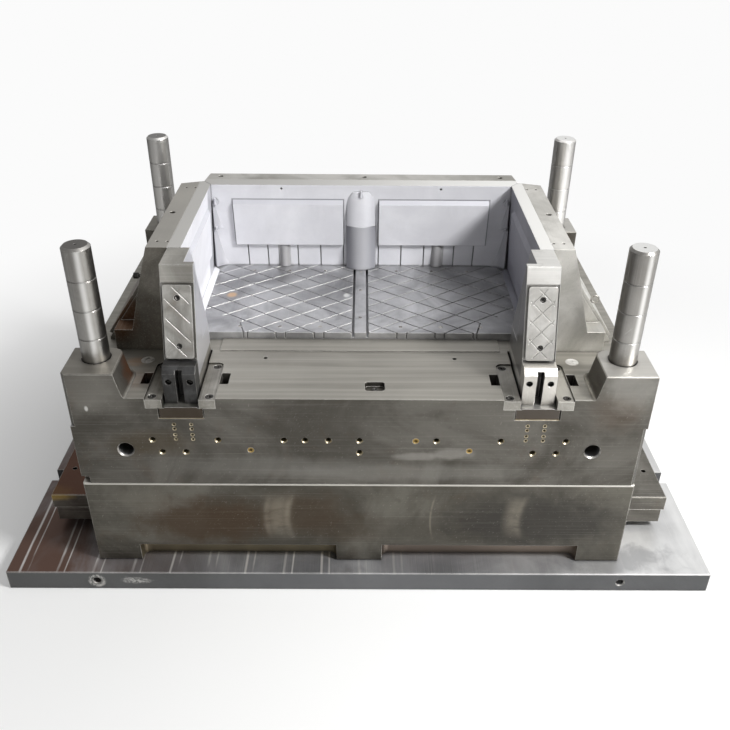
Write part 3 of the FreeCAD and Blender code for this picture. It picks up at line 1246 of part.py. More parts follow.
def hose_knob():
    head = rod(KNOB_R, knob_face_x() + KNOB_NECK, KNOB_Y, Z_WALL - KNOB_DOWN, KNOB_L - KNOB_NECK, X_AXIS)
    return knob_stem(0).fuse(head).removeSplitter()


def ring_seat():
    # where the eye's stem leaves the wear plate, and the way it points
    upper, lower = wedge_line(SIDE_OUT_X, 0)
    x = upper[0] + (lower[0] - upper[0]) * RING_SHARE
    z = upper[1] + (lower[1] - upper[1]) * RING_SHARE
    mid, normal, down, run = heel_frame(SIDE_OUT_X)
    return vec(x, RING_Y, z), vec(normal[0], 0, normal[1])


def ring_stem(grow):
    seat, out = ring_seat()
    return Part.makeCylinder(RING_STEM_R + grow, RING_BITE + RING_WIRE, seat - out * RING_BITE, out)


def eye_ring():
    seat, out = ring_seat()
    ring = Part.makeTorus(RING_R, RING_WIRE, seat + out * (RING_R + RING_WIRE), Y_AXIS)
    return ring.fuse(ring_stem(0)).removeSplitter()


def compound(shapes):
    return Part.makeCompound(shapes)


# Fixed pieces
save("base_clamp_plate", clamp_plate())
rail = spacer_rail()
save("front_spacer_rail", rail)
save("rear_spacer_rail", mirror_y(rail))
save("core_plate", core_plate())
save("corner_towers", corner_towers())
for name, x, y in (("front_left", -1, -1), ("front_right", 1, -1),
                   ("rear_left", -1, 1), ("rear_right", 1, 1)):
    save("guide_pillar_" + name, guide_pillar(x * PILLAR_X, y * PILLAR_Y))
insert = floor_insert()
save("floor_insert_left", insert)
save("floor_insert_right", mirror_x(insert))
save("floor_centre_bar", floor_bar())
outer, inner = both_gibs(outer_gib())
save("right_outer_gib", outer)
save("right_inner_gib", inner)
save("left_outer_gib", mirror_x(outer))
save("left_inner_gib", mirror_x(inner))
save("gib_screws", compound(gib_screws()))
save("support_pillars", compound([rod(SUPPORT_R, x, y, Z_BASE, RAIL_H) for x, y in SUPPORT_SPOTS]))
save("stop_buttons", compound([rod(STOP_R, x, y, Z_BASE, STOP_T - SLIDE) for x, y in STOP_SPOTS]))
guide_length = RAIL_H + 2 * GUIDE_SEAT
guide_foot = Z_BASE - GUIDE_SEAT
save("ejector_guide_pins", compound([rod(GUIDE_R, x, y, guide_foot, guide_length) for x, y in GUIDE_SPOTS]))
clamp_shank = BASE_T - CLAMP_HEAD_T - 2 + RAIL_H + CLAMP_BITE
save("clamp_screws", compound([cap_screw(CLAMP_SCREW_R, CLAMP_HEAD_R, CLAMP_HEAD_T, x, y, 2, clamp_shank)
                               for x, y in CLAMP_SPOTS]))
save("water_plugs", compound([water_plug(x, z) for x, z in PLUG_SPOTS]))
screw_top = Z_LAND - POCKET_D + PLATE_HEAD_T
save("pocket_screw", cap_screw(PLATE_SCREW_R, PLATE_SCREW_R * SCREW_HEAD_SHARE, PLATE_HEAD_T,
                               POCKET_X, POCKET_Y, screw_top, PLATE_SCREW_L - 2, -Z_AXIS))
for name, kind, sign in (("left_slide_rails", "x", -1), ("right_slide_rails", "x", 1),
                         ("rear_slide_rails", "y", 1)):
    mids = SIDE_T_Y if kind == "x" else REAR_T_X
    save(name, compound([t_rail(kind, sign, mid) for mid in mids]))
rail_screws = []
for kind, sign, mid in t_rail_spots():
    for x, y in t_screw_spots(kind, sign, mid):
        head_z = Z_LAND + T_NECK_H + T_HEAD_H
        rail_screws.append(cap_screw(T_SCREW_R, T_SCREW_R * SCREW_HEAD_SHARE, T_SCREW_R, x, y, head_z,
                                     head_z - T_SCREW_R - Z_LAND + T_BASE_D + T_SCREW_BITE, -Z_AXIS))
save("slide_rail_screws", compound(rail_screws))
save("slide_wear_strips", compound(wear_strips(0, 0)))

# Ejector assembly
save("ejector_retainer_plate", retainer_plate())
save("ejector_base_plate", ejector_base())
save("ejector_pins", compound([headed_pin(EJ_PIN_R, EJ_HEAD_R, EJ_HEAD_T, x, y, Z_FLOOR)
                               for x, y in EJ_PIN_SPOTS]))
save("return_pins", compound([headed_pin(RETURN_R, RETURN_HEAD_R, RETURN_HEAD_T, x, y, Z_LAND)
                              for x, y in RETURN_SPOTS]))
save("ejector_guide_bushes", compound([guide_bush(x, y) for x, y in GUIDE_SPOTS]))
ej_head_r = EJ_SCREW_R * SCREW_HEAD_SHARE
ej_screws = [cap_screw(EJ_SCREW_R, ej_head_r, EJ_SCREW_R * 2, x, y, Z_EJ, EJ_SCREW_L)
             for x, y in EJ_SCREW_SPOTS]
save("ejector_plate_screws", compound(ej_screws))

# Side slides
block = side_block()
wall = side_insert()
plate = heel_plate(SIDE_OUT_X, "x")
screws = heel_screws(SIDE_OUT_X, "x")
save("right_slide_block", block.cut(ring_stem(RUN)))
save("right_cavity_insert", wall)
save("right_heel_plate", plate.cut(ring_stem(RUN)))
save("right_heel_screws", compound(screws))
save("right_eye_ring", eye_ring())
save("left_slide_block", mirror_x(block.cut(knob_stem(RUN))))
save("left_cavity_insert", mirror_x(wall))
save("left_heel_plate", mirror_x(plate))
save("left_heel_screws", compound([mirror_x(screw) for screw in screws]))
save("left_hose_knob", mirror_x(hose_knob()))

# Rear slide
save("rear_slide_block", rear_block())
save("rear_cavity_insert", rear_insert())
save("rear_heel_plate", heel_plate(REAR_OUT_Y, "y"))
save("rear_heel_screws", compound(heel_screws(REAR_OUT_Y, "y")))

# Corner slides
slide = corner_slide()
coupling = coupling_block()
fasteners = corner_screws()
save("right_corner_slide", slide)
save("right_corner_plate", corner_plate(True))
save("right_coupling_block", coupling)
save("right_corner_screws", compound(fasteners))
save("left_corner_slide", mirror_x(slide))
save("left_corner_plate", mirror_x(corner_plate(False)))
save("left_coupling_block", mirror_x(coupling))
save("left_corner_screws", compound([mirror_x(screw) for screw in fasteners]))
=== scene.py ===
# %% [markdown]
# # Dressing an injection mould in Blender
# The object is the ejector half of a large injection mould: ground and milled tool steel, four
# polished guide pillars, and a satin moulding space in the middle. Its solids come ready made from
# CAD, so the work here is mostly surfaces: how each face was machined, and how it has aged.
# We start by loading the solids as a fixed frame, all in metres.

# %% Load the solids
import math

import bpy
from mathutils import Matrix, Vector


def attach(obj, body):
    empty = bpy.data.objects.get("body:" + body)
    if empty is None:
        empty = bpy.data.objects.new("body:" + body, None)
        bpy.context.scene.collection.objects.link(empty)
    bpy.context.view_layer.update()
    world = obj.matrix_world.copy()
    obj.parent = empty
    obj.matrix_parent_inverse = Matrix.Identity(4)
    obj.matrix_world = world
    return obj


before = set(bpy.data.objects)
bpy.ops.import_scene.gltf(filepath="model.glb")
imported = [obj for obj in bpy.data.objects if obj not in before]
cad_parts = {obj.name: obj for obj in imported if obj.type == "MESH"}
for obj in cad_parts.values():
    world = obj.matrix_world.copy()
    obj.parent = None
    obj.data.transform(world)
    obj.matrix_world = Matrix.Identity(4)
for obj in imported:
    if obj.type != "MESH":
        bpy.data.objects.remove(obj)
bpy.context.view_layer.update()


# %% [markdown]
# ## The camera
# The photograph was taken from above the front edge with a lens of about 40 mm. The camera leans
# down by 32 degrees and is turned by a hair, which we build from two angles and a small roll.

# %% Camera
YAW, PITCH, ROLL = math.radians(0.291), math.radians(31.641), math.radians(0.46)
EYE = Vector((0.0034, -1.9106, 1.5142))

ahead = Vector((math.sin(YAW) * math.cos(PITCH), math.cos(YAW) * math.cos(PITCH), -math.sin(PITCH)))
across = Vector((math.cos(YAW), -math.sin(YAW), 0))
upward = across.cross(ahead)
turned = across * math.cos(ROLL) + upward * math.sin(ROLL)
raised = upward * math.cos(ROLL) - across * math.sin(ROLL)

camera_data = bpy.data.cameras.new("camera")
camera_data.lens = 40.27
camera_data.sensor_width = 36
camera = bpy.data.objects.new("camera", camera_data)
bpy.context.scene.collection.objects.link(camera)
camera.matrix_world = Matrix((turned, raised, -ahead)).transposed().to_4x4()
camera.location = EYE
bpy.context.scene.camera = camera
bpy.context.scene.view_settings.view_transform = "Standard"
print("camera at", [round(c, 2) for c in EYE])


# %% [markdown]
# ## Helpers for materials
# Colours are easiest to pick as they look on a screen, so we write them as sRGB hex values and turn
# them to linear with one function. A second function adds any node with its settings and links.

# %% Colour and node helpers
def linear(hex_code):
    parts = [int(hex_code[i:i + 2], 16) / 255 for i in (0, 2, 4)]
    curve = [c / 12.92 if c <= 0.04045 else ((c + 0.055) / 1.055) ** 2.4 for c in parts]
    return (*curve, 1.0)


def add(tree, kind, settings=(), inputs=()):
    node = tree.nodes.new("ShaderNode" + kind)
    for name, value in dict(settings).items():
        setattr(node, name, value)
    for key, value in dict(inputs).items():
        if isinstance(value, bpy.types.NodeSocket):
            tree.links.new(value, node.inputs[key])
        else:
            node.inputs[key].default_value = value
    return node


# %% [markdown]
# A few steps come back in every steel, so each gets a name: joining masks, laying one colour over
# another where the masks allow it, a soft step from one value to another, and reading a noise at
# a size given in millimetres. A noise stretched along one axis is what a grinding wheel or a
# milling cutter leaves behind.

# %% Layers and noises
def overlap(tree, *masks):
    # open only as far as every one of the masks is open; a number weakens the others
    shared = masks[0]
    for mask in masks[1:]:
        shared = add(tree, "Math", {"operation": "MULTIPLY"}, {0: shared, 1: mask}).outputs[0]
    return shared


def either(tree, *masks):
    # open as far as the widest open of the masks
    widest = masks[0]
    for mask in masks[1:]:
        widest = add(tree, "Math", {"operation": "MAXIMUM"}, {0: widest, 1: mask}).outputs[0]
    return widest


def distance(tree, value, target):
    # how far a value is from its target, to either side
    gap = add(tree, "Math", {"operation": "SUBTRACT"}, {0: value, 1: target}).outputs[0]
    return add(tree, "Math", {"operation": "ABSOLUTE"}, {0: gap}).outputs[0]


def lay_over(tree, below, above, *masks):
    # the upper colour shows where all the masks overlap
    inputs = {0: overlap(tree, *masks), 6: below, 7: above}
    return add(tree, "Mix", {"data_type": "RGBA"}, inputs).outputs[2]


def between(tree, value, low, high, to_low=0.0, to_high=1.0):
    spans = {0: value, 1: low, 2: high, 3: to_low, 4: to_high}
    return add(tree, "MapRange", {"interpolation_type": "SMOOTHSTEP"}, spans).outputs[0]


def noise(tree, place, size_mm, detail=4.0, rough=0.55, bend=0.0, seed=0.0):
    # size_mm is one number, or the size along X, Y and Z for a stretched grain
    sizes = size_mm if isinstance(size_mm, tuple) else (size_mm,) * 3
    per_metre = tuple(1000.0 / size for size in sizes)
    moved = add(tree, "Mapping", {}, {0: place, 1: (seed, seed * 0.7, seed * 1.3), 3: per_metre})
    inputs = {"Vector": moved.outputs[0], "Scale": 1.0, "Detail": detail,
              "Roughness": rough, "Distortion": bend}
    return add(tree, "TexNoise", {}, inputs).outputs[0]


# %% [markdown]
# Many marks repeat on the other half of the mould, or lie only on faces that look one way. Two
# more helpers read the point with the mould folded onto its own middle, and the direction in
# which the face looks: to the right, to the rear and up.

# %% Folded places and the way a face looks
def folded_axes(tree, place):
    # left and right count as the same, and so do front and rear
    folded = add(tree, "VectorMath", {"operation": "ABSOLUTE"}, {0: place}).outputs[0]
    return add(tree, "SeparateXYZ", {}, {0: folded}).outputs


def facing(tree):
    normal = add(tree, "NewGeometry").outputs["Normal"]
    return add(tree, "SeparateXYZ", {}, {0: normal}).outputs


# %% [markdown]
# A stain on a real plate has a place. `patch_mask` makes a soft ellipsoid at a point of the
# object, with a ragged border, so that an oil mark or a worn spot sits where the photograph
# shows it and stays there from every side. `arc_mask` does the same for the curved track that a
# cloth or a piece of chalk leaves on an upright face.

# %% Stains that have a place
def patch_mask(tree, place, centre, reach, ragged=0.5):
    away = add(tree, "VectorMath", {"operation": "SUBTRACT"}, {0: place, 1: centre}).outputs[0]
    scaled = add(tree, "VectorMath", {"operation": "DIVIDE"}, {0: away, 1: reach}).outputs[0]
    length = add(tree, "VectorMath", {"operation": "LENGTH"}, {0: scaled}).outputs[1]
    wander = noise(tree, place, 45.0, 4.0, 0.6, 0.4, centre[0] * 7)
    push = {0: wander, 1: ragged * 1.6, 2: -ragged * 0.8}
    rim = add(tree, "Math", {"operation": "MULTIPLY_ADD"}, push).outputs[0]
    total = add(tree, "Math", {"operation": "ADD"}, {0: length, 1: rim}).outputs[0]
    return between(tree, total, 0.35, 1.0, 1.0, 0.0)


def arc_mask(tree, place, middle_x, middle_z, reach, half):
    flat = add(tree, "VectorMath", {"operation": "MULTIPLY"}, {0: place, 1: (1, 0, 1)}).outputs[0]
    middle = (middle_x, 0, middle_z)
    away = add(tree, "VectorMath", {"operation": "DISTANCE"}, {0: flat, 1: middle}).outputs[1]
    return between(tree, distance(tree, away, reach), 0.0, half, 1.0, 0.0)


# %% [markdown]
# ## Tool steel
# Pre-hardened mould steel is ground or milled, wiped with oil and then handled for weeks. Five
# things make it read as that metal: clouds of oil and dirt a hand wide, fine lines along the
# grinding direction, thin stray scratches, brown bloom where the oil has gone, and edges that
# shine because they are rubbed. `tool_steel` lays these one by one, with smaller blots and chips
# between them. It darkens the corners with painted shade where an Ambient Occlusion node finds
# nearby faces. Where it is asked to, it also paints the steel lighter towards the right, as
# painted light. The edges come from the Bevel node, which also rounds the light on them, as a
# real broken edge does.

# %% Tool steel, layer by layer
EDGE_RADIUS = 0.0022


# grain and cloud_mm are in mm; corner, how far the painted corner shade reaches, and the radius of
# an edge are in metres; lines, flecks, the strength of the painted corner shade and of the painted
# light towards the right, and the shares go from 0 to 1
def tool_steel(name, light, dark, grain=(400.0, 2.0, 2.0), metal=0.85, rough=0.42, cloud_mm=190.0,
               rust="6a4a35", rust_share=0.25, edge="c9c6bf", edge_share=0.75, lines=0.35,
               flecks=0.25, corner_shade=0.6, corner=0.014, right_side_light=0.0, patches=(), extra=None,
               last=None, radius=None):
    material = bpy.data.materials.new(name)
    material.use_nodes = True
    tree = material.node_tree
    shader = tree.nodes["Principled BSDF"]
    place = add(tree, "TexCoord").outputs["Object"]

    cloud = noise(tree, place, cloud_mm, 6.0, 0.6, 0.8)
    colour = lay_over(tree, linear(dark), linear(light), between(tree, cloud, 0.34, 0.68))

    # painted light: the steel turns lighter towards the right, the side the light comes from
    if right_side_light:
        across = add(tree, "SeparateXYZ", {}, {0: place}).outputs[0]
        colour = lay_over(tree, colour, linear(edge), between(tree, across, 0.10, 0.62, 0.0, right_side_light))

    blot = noise(tree, place, 38.0, 5.0, 0.62, 0.5, 3.0)
    colour = lay_over(tree, colour, linear(dark), between(tree, blot, 0.55, 0.80, 0.0, 0.45))

    bloom = noise(tree, place, 95.0, 7.0, 0.66, 0.6, 9.0)
    colour = lay_over(tree, colour, linear(rust), between(tree, bloom, 0.56, 0.78, 0.0, rust_share))

    for centre, reach, shade, share in patches:
        stain = patch_mask(tree, place, centre, reach)
        colour = lay_over(tree, colour, linear(shade), stain, share)

    ground = noise(tree, place, grain, 3.0, 0.6)
    colour = lay_over(tree, colour, linear(edge), between(tree, ground, 0.52, 0.80, 0.0, lines))
    valleys = between(tree, ground, 0.22, 0.47, lines * 0.6, 0.0)
    colour = lay_over(tree, colour, linear("1d1c1a"), valleys)

    turn = {0: place, "Rotation": (0.5, 0.8, 0.6)}
    leaning = add(tree, "VectorRotate", {"rotation_type": "EULER_XYZ"}, turn).outputs[0]
    stray = noise(tree, leaning, (260.0, 1.6, 1.6), 1.0, 0.5, 0.0, 5.0)
    colour = lay_over(tree, colour, linear(edge), between(tree, stray, 0.70, 0.76, 0.0, 0.18))

    chips = between(tree, noise(tree, place, 5.0, 2.0, 0.5, 1.2, 7.0), 0.70, 0.76)
    colour = lay_over(tree, colour, linear(edge), chips, flecks)

    if extra:
        colour = extra(tree, place, colour)

    # painted shade: corners and crevices turn darker where the Ambient Occlusion node finds nearby
    # faces
    hidden = add(tree, "AmbientOcclusion", {"samples": 6}, {"Distance": corner}).outputs["AO"]
    colour = lay_over(tree, colour, linear("191715"), between(tree, hidden, 0.25, 0.85, corner_shade, 0.0))
    if last:
        colour = last(tree, place, colour)

    width = radius(tree, place) if radius else EDGE_RADIUS
    rounded = add(tree, "Bevel", {"samples": 4}, {"Radius": width}).outputs[0]
    flat = add(tree, "NewGeometry").outputs["Normal"]
    bent = add(tree, "VectorMath", {"operation": "DOT_PRODUCT"}, {0: rounded, 1: flat}).outputs[1]
    on_edge = between(tree, bent, 0.90, 0.995, 1.0, 0.0)
    rubbed = between(tree, blot, 0.30, 0.55, 0.45, 1.0)
    colour = lay_over(tree, colour, linear(edge), on_edge, rubbed, edge_share)

    tree.links.new(colour, shader.inputs["Base Color"])
    shader.inputs["Metallic"].default_value = metal
    spread = {0: cloud, 1: 0.22, 2: rough - 0.11}
    dull = add(tree, "Math", {"operation": "MULTIPLY_ADD"}, spread).outputs[0]
    tree.links.new(dull, shader.inputs["Roughness"])
    height = {0: blot, 1: 0.6, 2: ground}
    relief = add(tree, "Math", {"operation": "MULTIPLY_ADD"}, height).outputs[0]
    inputs = {"Strength": 0.25, "Distance": 0.0004, "Height": relief, "Normal": rounded}
    tree.links.new(add(tree, "Bump", {}, inputs).outputs[0], shader.inputs["Normal"])
    return material


def dress(material, *names):
    for name in names:
        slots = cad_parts[name].data.materials
        slots.clear()
        slots.append(material)
    print(material.name, "on", len(names), "solids")


# %% [markdown]
# ## Clamp plate
# The plate was face-milled in long passes along Y. Each pass leaves a pair of bright lines where
# the cutter overlapped, a broad one and a narrow one. On the left the oil has dried and the steel
# has gone red-brown between the lines. Towards the right the top is painted pale, as painted
# light, with one darker cloud of painted shade beside the rail. On the front edge somebody has
# rubbed chalk around the left hole.

# %% Milling passes and the rusted left side
PASS_STEP = 0.092
LEFT_HOLE = (-0.634, 0.0275)


def milled_passes(tree, place, colour):
    x, y, z = add(tree, "SeparateXYZ", {}, {0: place}).outputs
    up = facing(tree)[2]
    top = between(tree, up, 0.5, 0.9)
    clouds = noise(tree, place, (140.0, 420.0, 200.0), 5.0, 0.6, 0.5, 2.0)
    leftness = between(tree, x, -0.66, -0.25, 1.0, 0.0)
    red = overlap(tree, top, leftness, between(tree, clouds, 0.30, 0.62, 0.35, 1.0))
    colour = lay_over(tree, colour, linear("5f483e"), red)

    edge = lay_over(tree, linear("424342"), linear("5e5f61"), between(tree, x, -0.55, -0.05))
    edge = lay_over(tree, edge, linear("48494a"), between(tree, x, 0.15, 0.60))
    colour = lay_over(tree, colour, edge, between(tree, up, 0.3, 0.7, 0.85, 0.0))

    broken = between(tree, noise(tree, place, 9.0, 4.0, 0.65, 1.2, 21.0), 0.40, 0.58, 0.1, 0.85)
    chalk = overlap(tree, broken, between(tree, y, -0.4995, -0.4990, 1.0, 0.0))
    ring = arc_mask(tree, place, *LEFT_HOLE, 0.0165, 0.0070)
    colour = lay_over(tree, colour, linear("c9c7c2"), ring, chalk)
    smear = patch_mask(tree, place, (-0.545, -0.5, 0.030), (0.045, 0.02, 0.014), 1.6)
    colour = lay_over(tree, colour, linear("b9b8b4"), smear, chalk)

    # painted light: the top turns pale towards the right, the side the light comes from
    rightness = between(tree, x, 0.20, 0.75)
    paler_area = overlap(tree, top, rightness, between(tree, clouds, 0.35, 0.65, 0.5, 0.9))
    colour = lay_over(tree, colour, linear("dededd"), paler_area)
    # painted shade: a darker cloud on the top beside the foot of the rail
    rail_foot_shade = patch_mask(tree, place, (0.60, -0.45, 0.055), (0.22, 0.075, 0.03), 0.9)
    colour = lay_over(tree, colour, linear("7f7f81"), rail_foot_shade, top, 0.55)

    wander = noise(tree, place, (300.0, 900.0, 300.0), 2.0, 0.5, 0.0, 4.0)
    moved = add(tree, "Math", {"operation": "MULTIPLY_ADD"}, {0: wander, 1: 0.05, 2: x}).outputs[0]
    passes = add(tree, "Math", {"operation": "DIVIDE"}, {0: moved, 1: PASS_STEP}).outputs[0]
    share = add(tree, "Math", {"operation": "FRACT"}, {0: passes}).outputs[0]
    broad = between(tree, distance(tree, share, 0.30), 0.01, 0.048, 1.0, 0.0)
    narrow = between(tree, distance(tree, share, 0.50), 0.005, 0.030, 1.0, 0.0)
    rub = noise(tree, place, (30.0, 260.0, 30.0), 4.0, 0.6, 0.0, 6.0)
    worn = between(tree, rub, 0.36, 0.60, 0.0, 0.85)
    faded = between(tree, x, -0.20, 0.22, 1.0, 0.10)
    bright = overlap(tree, either(tree, broad, narrow), worn, top, faded)
    return lay_over(tree, colour, linear("dcd9d6"), bright)


plate_steel = tool_steel("face_milled_plate_steel", "a6a6a8", "7b7b7d", grain=(2.5, 420.0, 2.5),
                         rough=0.40, metal=0.6, cloud_mm=240.0, rust_share=0.15, lines=0.30,
                         extra=milled_passes)
dress(plate_steel, "base_clamp_plate")


# %% [markdown]
# ## Spacer rails and ejector plates
# The rail is a plain ground block with an old oil film, darker and browner low on the left where
# it was slung. A cloth has left a broad pale crescent on either half and a thin one between them.
# The recess along the foot is rusty inside, and its back wall is painted lighter as painted light.
# A thin painted highlight runs along the top. The ejector plates are of the same steel, with the
# red-brown of dried oil on the left of their top.

# %% Rails and ejector plates
# where a crescent has its middle in X, its radius, half its width and how strong it is
CRESCENTS = ((0.020, 0.214, 0.046, 0.36), (0.020, 0.240, 0.010, 0.20), (0.020, 0.190, 0.012, 0.30),
             (0.560, 0.197, 0.032, 0.34), (0.560, 0.184, 0.010, 0.16), (0.430, 0.262, 0.004, 0.28))


def wiped_arcs(tree, place, colour):
    x, y, z = add(tree, "SeparateXYZ", {}, {0: place}).outputs
    front = between(tree, y, -0.4540, -0.4535, 1.0, 0.0)
    tall = overlap(tree, between(tree, z, 0.115, 0.170), between(tree, z, 0.225, 0.275, 1.0, 0.0))
    smear = noise(tree, place, (60.0, 60.0, 20.0), 4.0, 0.6, 0.3, 12.0)
    for middle, reach, half, share in CRESCENTS:
        arc = overlap(tree, arc_mask(tree, place, middle, 0.19, reach, half), front, tall)
        left_part = between(tree, x, middle, middle - 0.02)
        ragged = between(tree, smear, 0.25, 0.60, share * 0.4, share)
        colour = lay_over(tree, colour, linear("a79f90"), arc, left_part, ragged)

    # painted highlight: a thin bright line along the top edge of the rail's front face
    ledge_highlight = overlap(tree, between(tree, z, 0.2895, 0.2905), between(tree, smear, 0.25, 0.45, 0.35, 0.9))
    colour = lay_over(tree, colour, linear("cfccc4"), ledge_highlight)

    along, depth, height = folded_axes(tree, place)
    # the recess is 0.60 m long to either side, and its roof is at a height of 0.11 m
    behind_face = overlap(tree, between(tree, depth, 0.40, 0.41),
                          between(tree, depth, 0.4535, 0.4540, 1.0, 0.0))
    recess = overlap(tree, behind_face, between(tree, along, 0.60, 0.61, 1.0, 0.0),
                     between(tree, height, 0.108, 0.112, 1.0, 0.0))
    # the rusty back wall of the recess is painted lighter, as painted light where it would be in shade
    right_half = add(tree, "MapRange", {}, {0: x, 1: -0.02, 2: 0.02}).outputs[0]
    rust = lay_over(tree, linear("8d836c"), linear("988a7e"), right_half)
    return lay_over(tree, colour, rust, recess, 0.8)


rail_steel = tool_steel("oiled_ground_steel", "6c6961", "49463f", grain=(420.0, 420.0, 3.0),
                        rough=0.46, cloud_mm=260.0, rust="4f3f2f", rust_share=0.35, lines=0.10,
                        flecks=0.12, extra=wiped_arcs,
                        patches=[((-0.36, -0.455, 0.18), (0.22, 0.03, 0.10), "483a2c", 0.85),
                                 ((-0.13, -0.455, 0.21), (0.16, 0.03, 0.08), "483c2f", 0.65),
                                 ((-0.05, -0.455, 0.16), (0.14, 0.03, 0.06), "463b2f", 0.5),
                                 ((-0.50, -0.455, 0.24), (0.10, 0.03, 0.05), "7b776e", 0.4),
                                 ((0.20, -0.455, 0.16), (0.25, 0.03, 0.06), "45413a", 0.5),
                                 ((0.42, -0.455, 0.18), (0.29, 0.03, 0.12), "3b3936", 0.8)])
dress(rail_steel, "front_spacer_rail", "rear_spacer_rail")


def red_top(tree, place, colour):
    top = between(tree, facing(tree)[2], 0.5, 0.9)
    x = add(tree, "SeparateXYZ", {}, {0: place}).outputs[0]
    left = between(tree, x, -0.60, 0.30, 1.0, 0.0)
    return lay_over(tree, colour, linear("58392a"), top, left, 0.88)


ejector_steel = tool_steel("ejector_plate_steel", "7b7871", "53504a", grain=(420.0, 3.0, 3.0),
                           rough=0.42, rust_share=0.2, lines=0.14, extra=red_top,
                           patches=[((-0.775, -0.334, 0.15), (0.07, 0.05, 0.02), "b59a52", 0.7)])
dress(ejector_steel, "ejector_retainer_plate", "ejector_base_plate")


# %% [markdown]
# ## Core plate
# The land on top was ground along X and is the lightest part. The sides are darker, with
# brown bloom at the towers. One material does both: a mask from the face's direction
# picks the lighter land. The tops of the towers are painted darker on the left and lighter on the
# right, as painted light. Two things need care. The towers are solids of their own here, so the
# edge where one stands on the plate gets no rounding. And the lower walls of the drilled ports get
# painted light from above, laid over the painted corner shade.

# %% Core plate
LAND_HEIGHT = 0.530


def pale_land(tree, place, colour):
    x, y, z = add(tree, "SeparateXYZ", {}, {0: place}).outputs
    top = overlap(tree, between(tree, facing(tree)[2], 0.6, 0.95), between(tree, z, 0.52, 0.53))
    strokes = noise(tree, place, (900.0, 22.0, 200.0), 5.0, 0.65, 0.3, 8.0)
    paler_area = overlap(tree, top, between(tree, strokes, 0.30, 0.70, 0.48, 0.80))
    colour = lay_over(tree, colour, linear("aaa79f"), paler_area)
    # painted light: the tower tops go from darker on the left to lighter on the right
    tower = overlap(tree, top, between(tree, z, 0.58, 0.60), 0.85)
    shade = lay_over(tree, linear("625d55"), linear("d6d4d0"), between(tree, x, -0.3, 0.3))
    return lay_over(tree, colour, shade, tower)


def sharp_at_foot(tree, place):
    along, depth, height = folded_axes(tree, place)
    tower = overlap(tree, between(tree, along, 0.5090, 0.5091), between(tree, depth, 0.3410, 0.3411))
    foot = between(tree, distance(tree, height, LAND_HEIGHT), 0.004, 0.0041, 1.0, 0.0)
    return between(tree, overlap(tree, tower, foot), 0.0, 1.0, EDGE_RADIUS, 0.0)


def port_mouths(tree, place, colour):
    # from above, the lower wall of each drilled port shows; it is painted pale as painted light
    along, depth, height = folded_axes(tree, place)
    looks_up = between(tree, facing(tree)[2], 0.05, 0.45)
    wall = overlap(tree, looks_up, between(tree, depth, 0.425, 0.450))
    below_land = between(tree, height, 0.505, 0.510, 1.0, 0.0)
    port_wall_light = lay_over(tree, linear("d9c9a6"), linear("b4b4b6"), between(tree, along, 0.49, 0.50))
    return lay_over(tree, colour, port_wall_light, wall, below_land, 0.9)


core_steel = tool_steel("ground_core_steel", "6f6c66", "4e4b45", grain=(300.0, 3.0, 3.0),
                        rough=0.50, cloud_mm=210.0, rust="5c4836", rust_share=0.28, lines=0.09,
                        flecks=0.12, extra=pale_land, last=port_mouths, radius=sharp_at_foot,
                        patches=[((-0.49, -0.37, 0.56), (0.05, 0.07, 0.06), "7c5133", 0.8),
                                 ((-0.515, -0.305, 0.53), (0.030, 0.028, 0.03), "b07a45", 0.8),
                                 ((-0.585, -0.455, 0.555), (0.08, 0.05, 0.09), "918e87", 0.45),
                                 ((0.585, -0.455, 0.565), (0.08, 0.05, 0.08), "b5b3ad", 0.38),
                                 ((-0.592, -0.455, 0.502), (0.005, 0.01, 0.009), "dddcd8", 0.8),
                                 ((0.13, -0.455, 0.376), (0.07, 0.02, 0.014), "a3a09a", 0.42),
                                 ((0.205, -0.455, 0.384), (0.06, 0.02, 0.020), "a3a09a", 0.42),
                                 ((0.56, -0.455, 0.50), (0.08, 0.03, 0.07), "6a5646", 0.22),
                                 ((-0.47, -0.455, 0.41), (0.12, 0.03, 0.05), "534a3c", 0.6),
                                 ((0.10, -0.455, 0.33), (0.40, 0.03, 0.03), "8f8d87", 0.35),
                                 ((-0.20, -0.455, 0.345), (0.30, 0.03, 0.04), "83817c", 0.35)])
dress(core_steel, "core_plate", "corner_towers")


# %% [markdown]
# ## Guide pillars
# Hardened pins, ground round and polished with a cloth drawn up and down. That leaves fine
# upright streaks. Both flanks are darkened with painted shade, and a bright upright strip is a
# painted highlight. The two pins at the rear are painted lighter, more so towards the right. The
# tips are painted darker on the left and lighter on the right.

# %% Guide pillars
def pillar_shade_and_highlight(tree, place, colour):
    x, y, z = add(tree, "SeparateXYZ", {}, {0: place}).outputs
    turn, toward, up = facing(tree)
    rear = overlap(tree, between(tree, y, 0.0, 0.1), between(tree, x, -0.7, 0.6, 0.65, 0.9))
    colour = lay_over(tree, colour, linear("e4e2df"), rear)
    round_face = between(tree, up, 0.2, 0.5, 1.0, 0.0)
    # painted shade on both flanks of each pin
    flank = either(tree, between(tree, turn, -0.95, -0.45, 0.65, 0.0),
                   between(tree, turn, 0.60, 0.97, 0.0, 0.55))
    colour = lay_over(tree, colour, linear("4c4a48"), flank, round_face)
    # painted highlight: a bright upright strip on each pin
    strip = between(tree, distance(tree, turn, 0.28), 0.02, 0.30, 0.62, 0.0)
    colour = lay_over(tree, colour, linear("f4f3f1"), strip, round_face)
    tip = lay_over(tree, linear("5d5955"), linear("f2f2f0"), between(tree, x, -0.5, 0.5))
    return lay_over(tree, colour, tip, between(tree, up, 0.90, 0.98), 0.8)


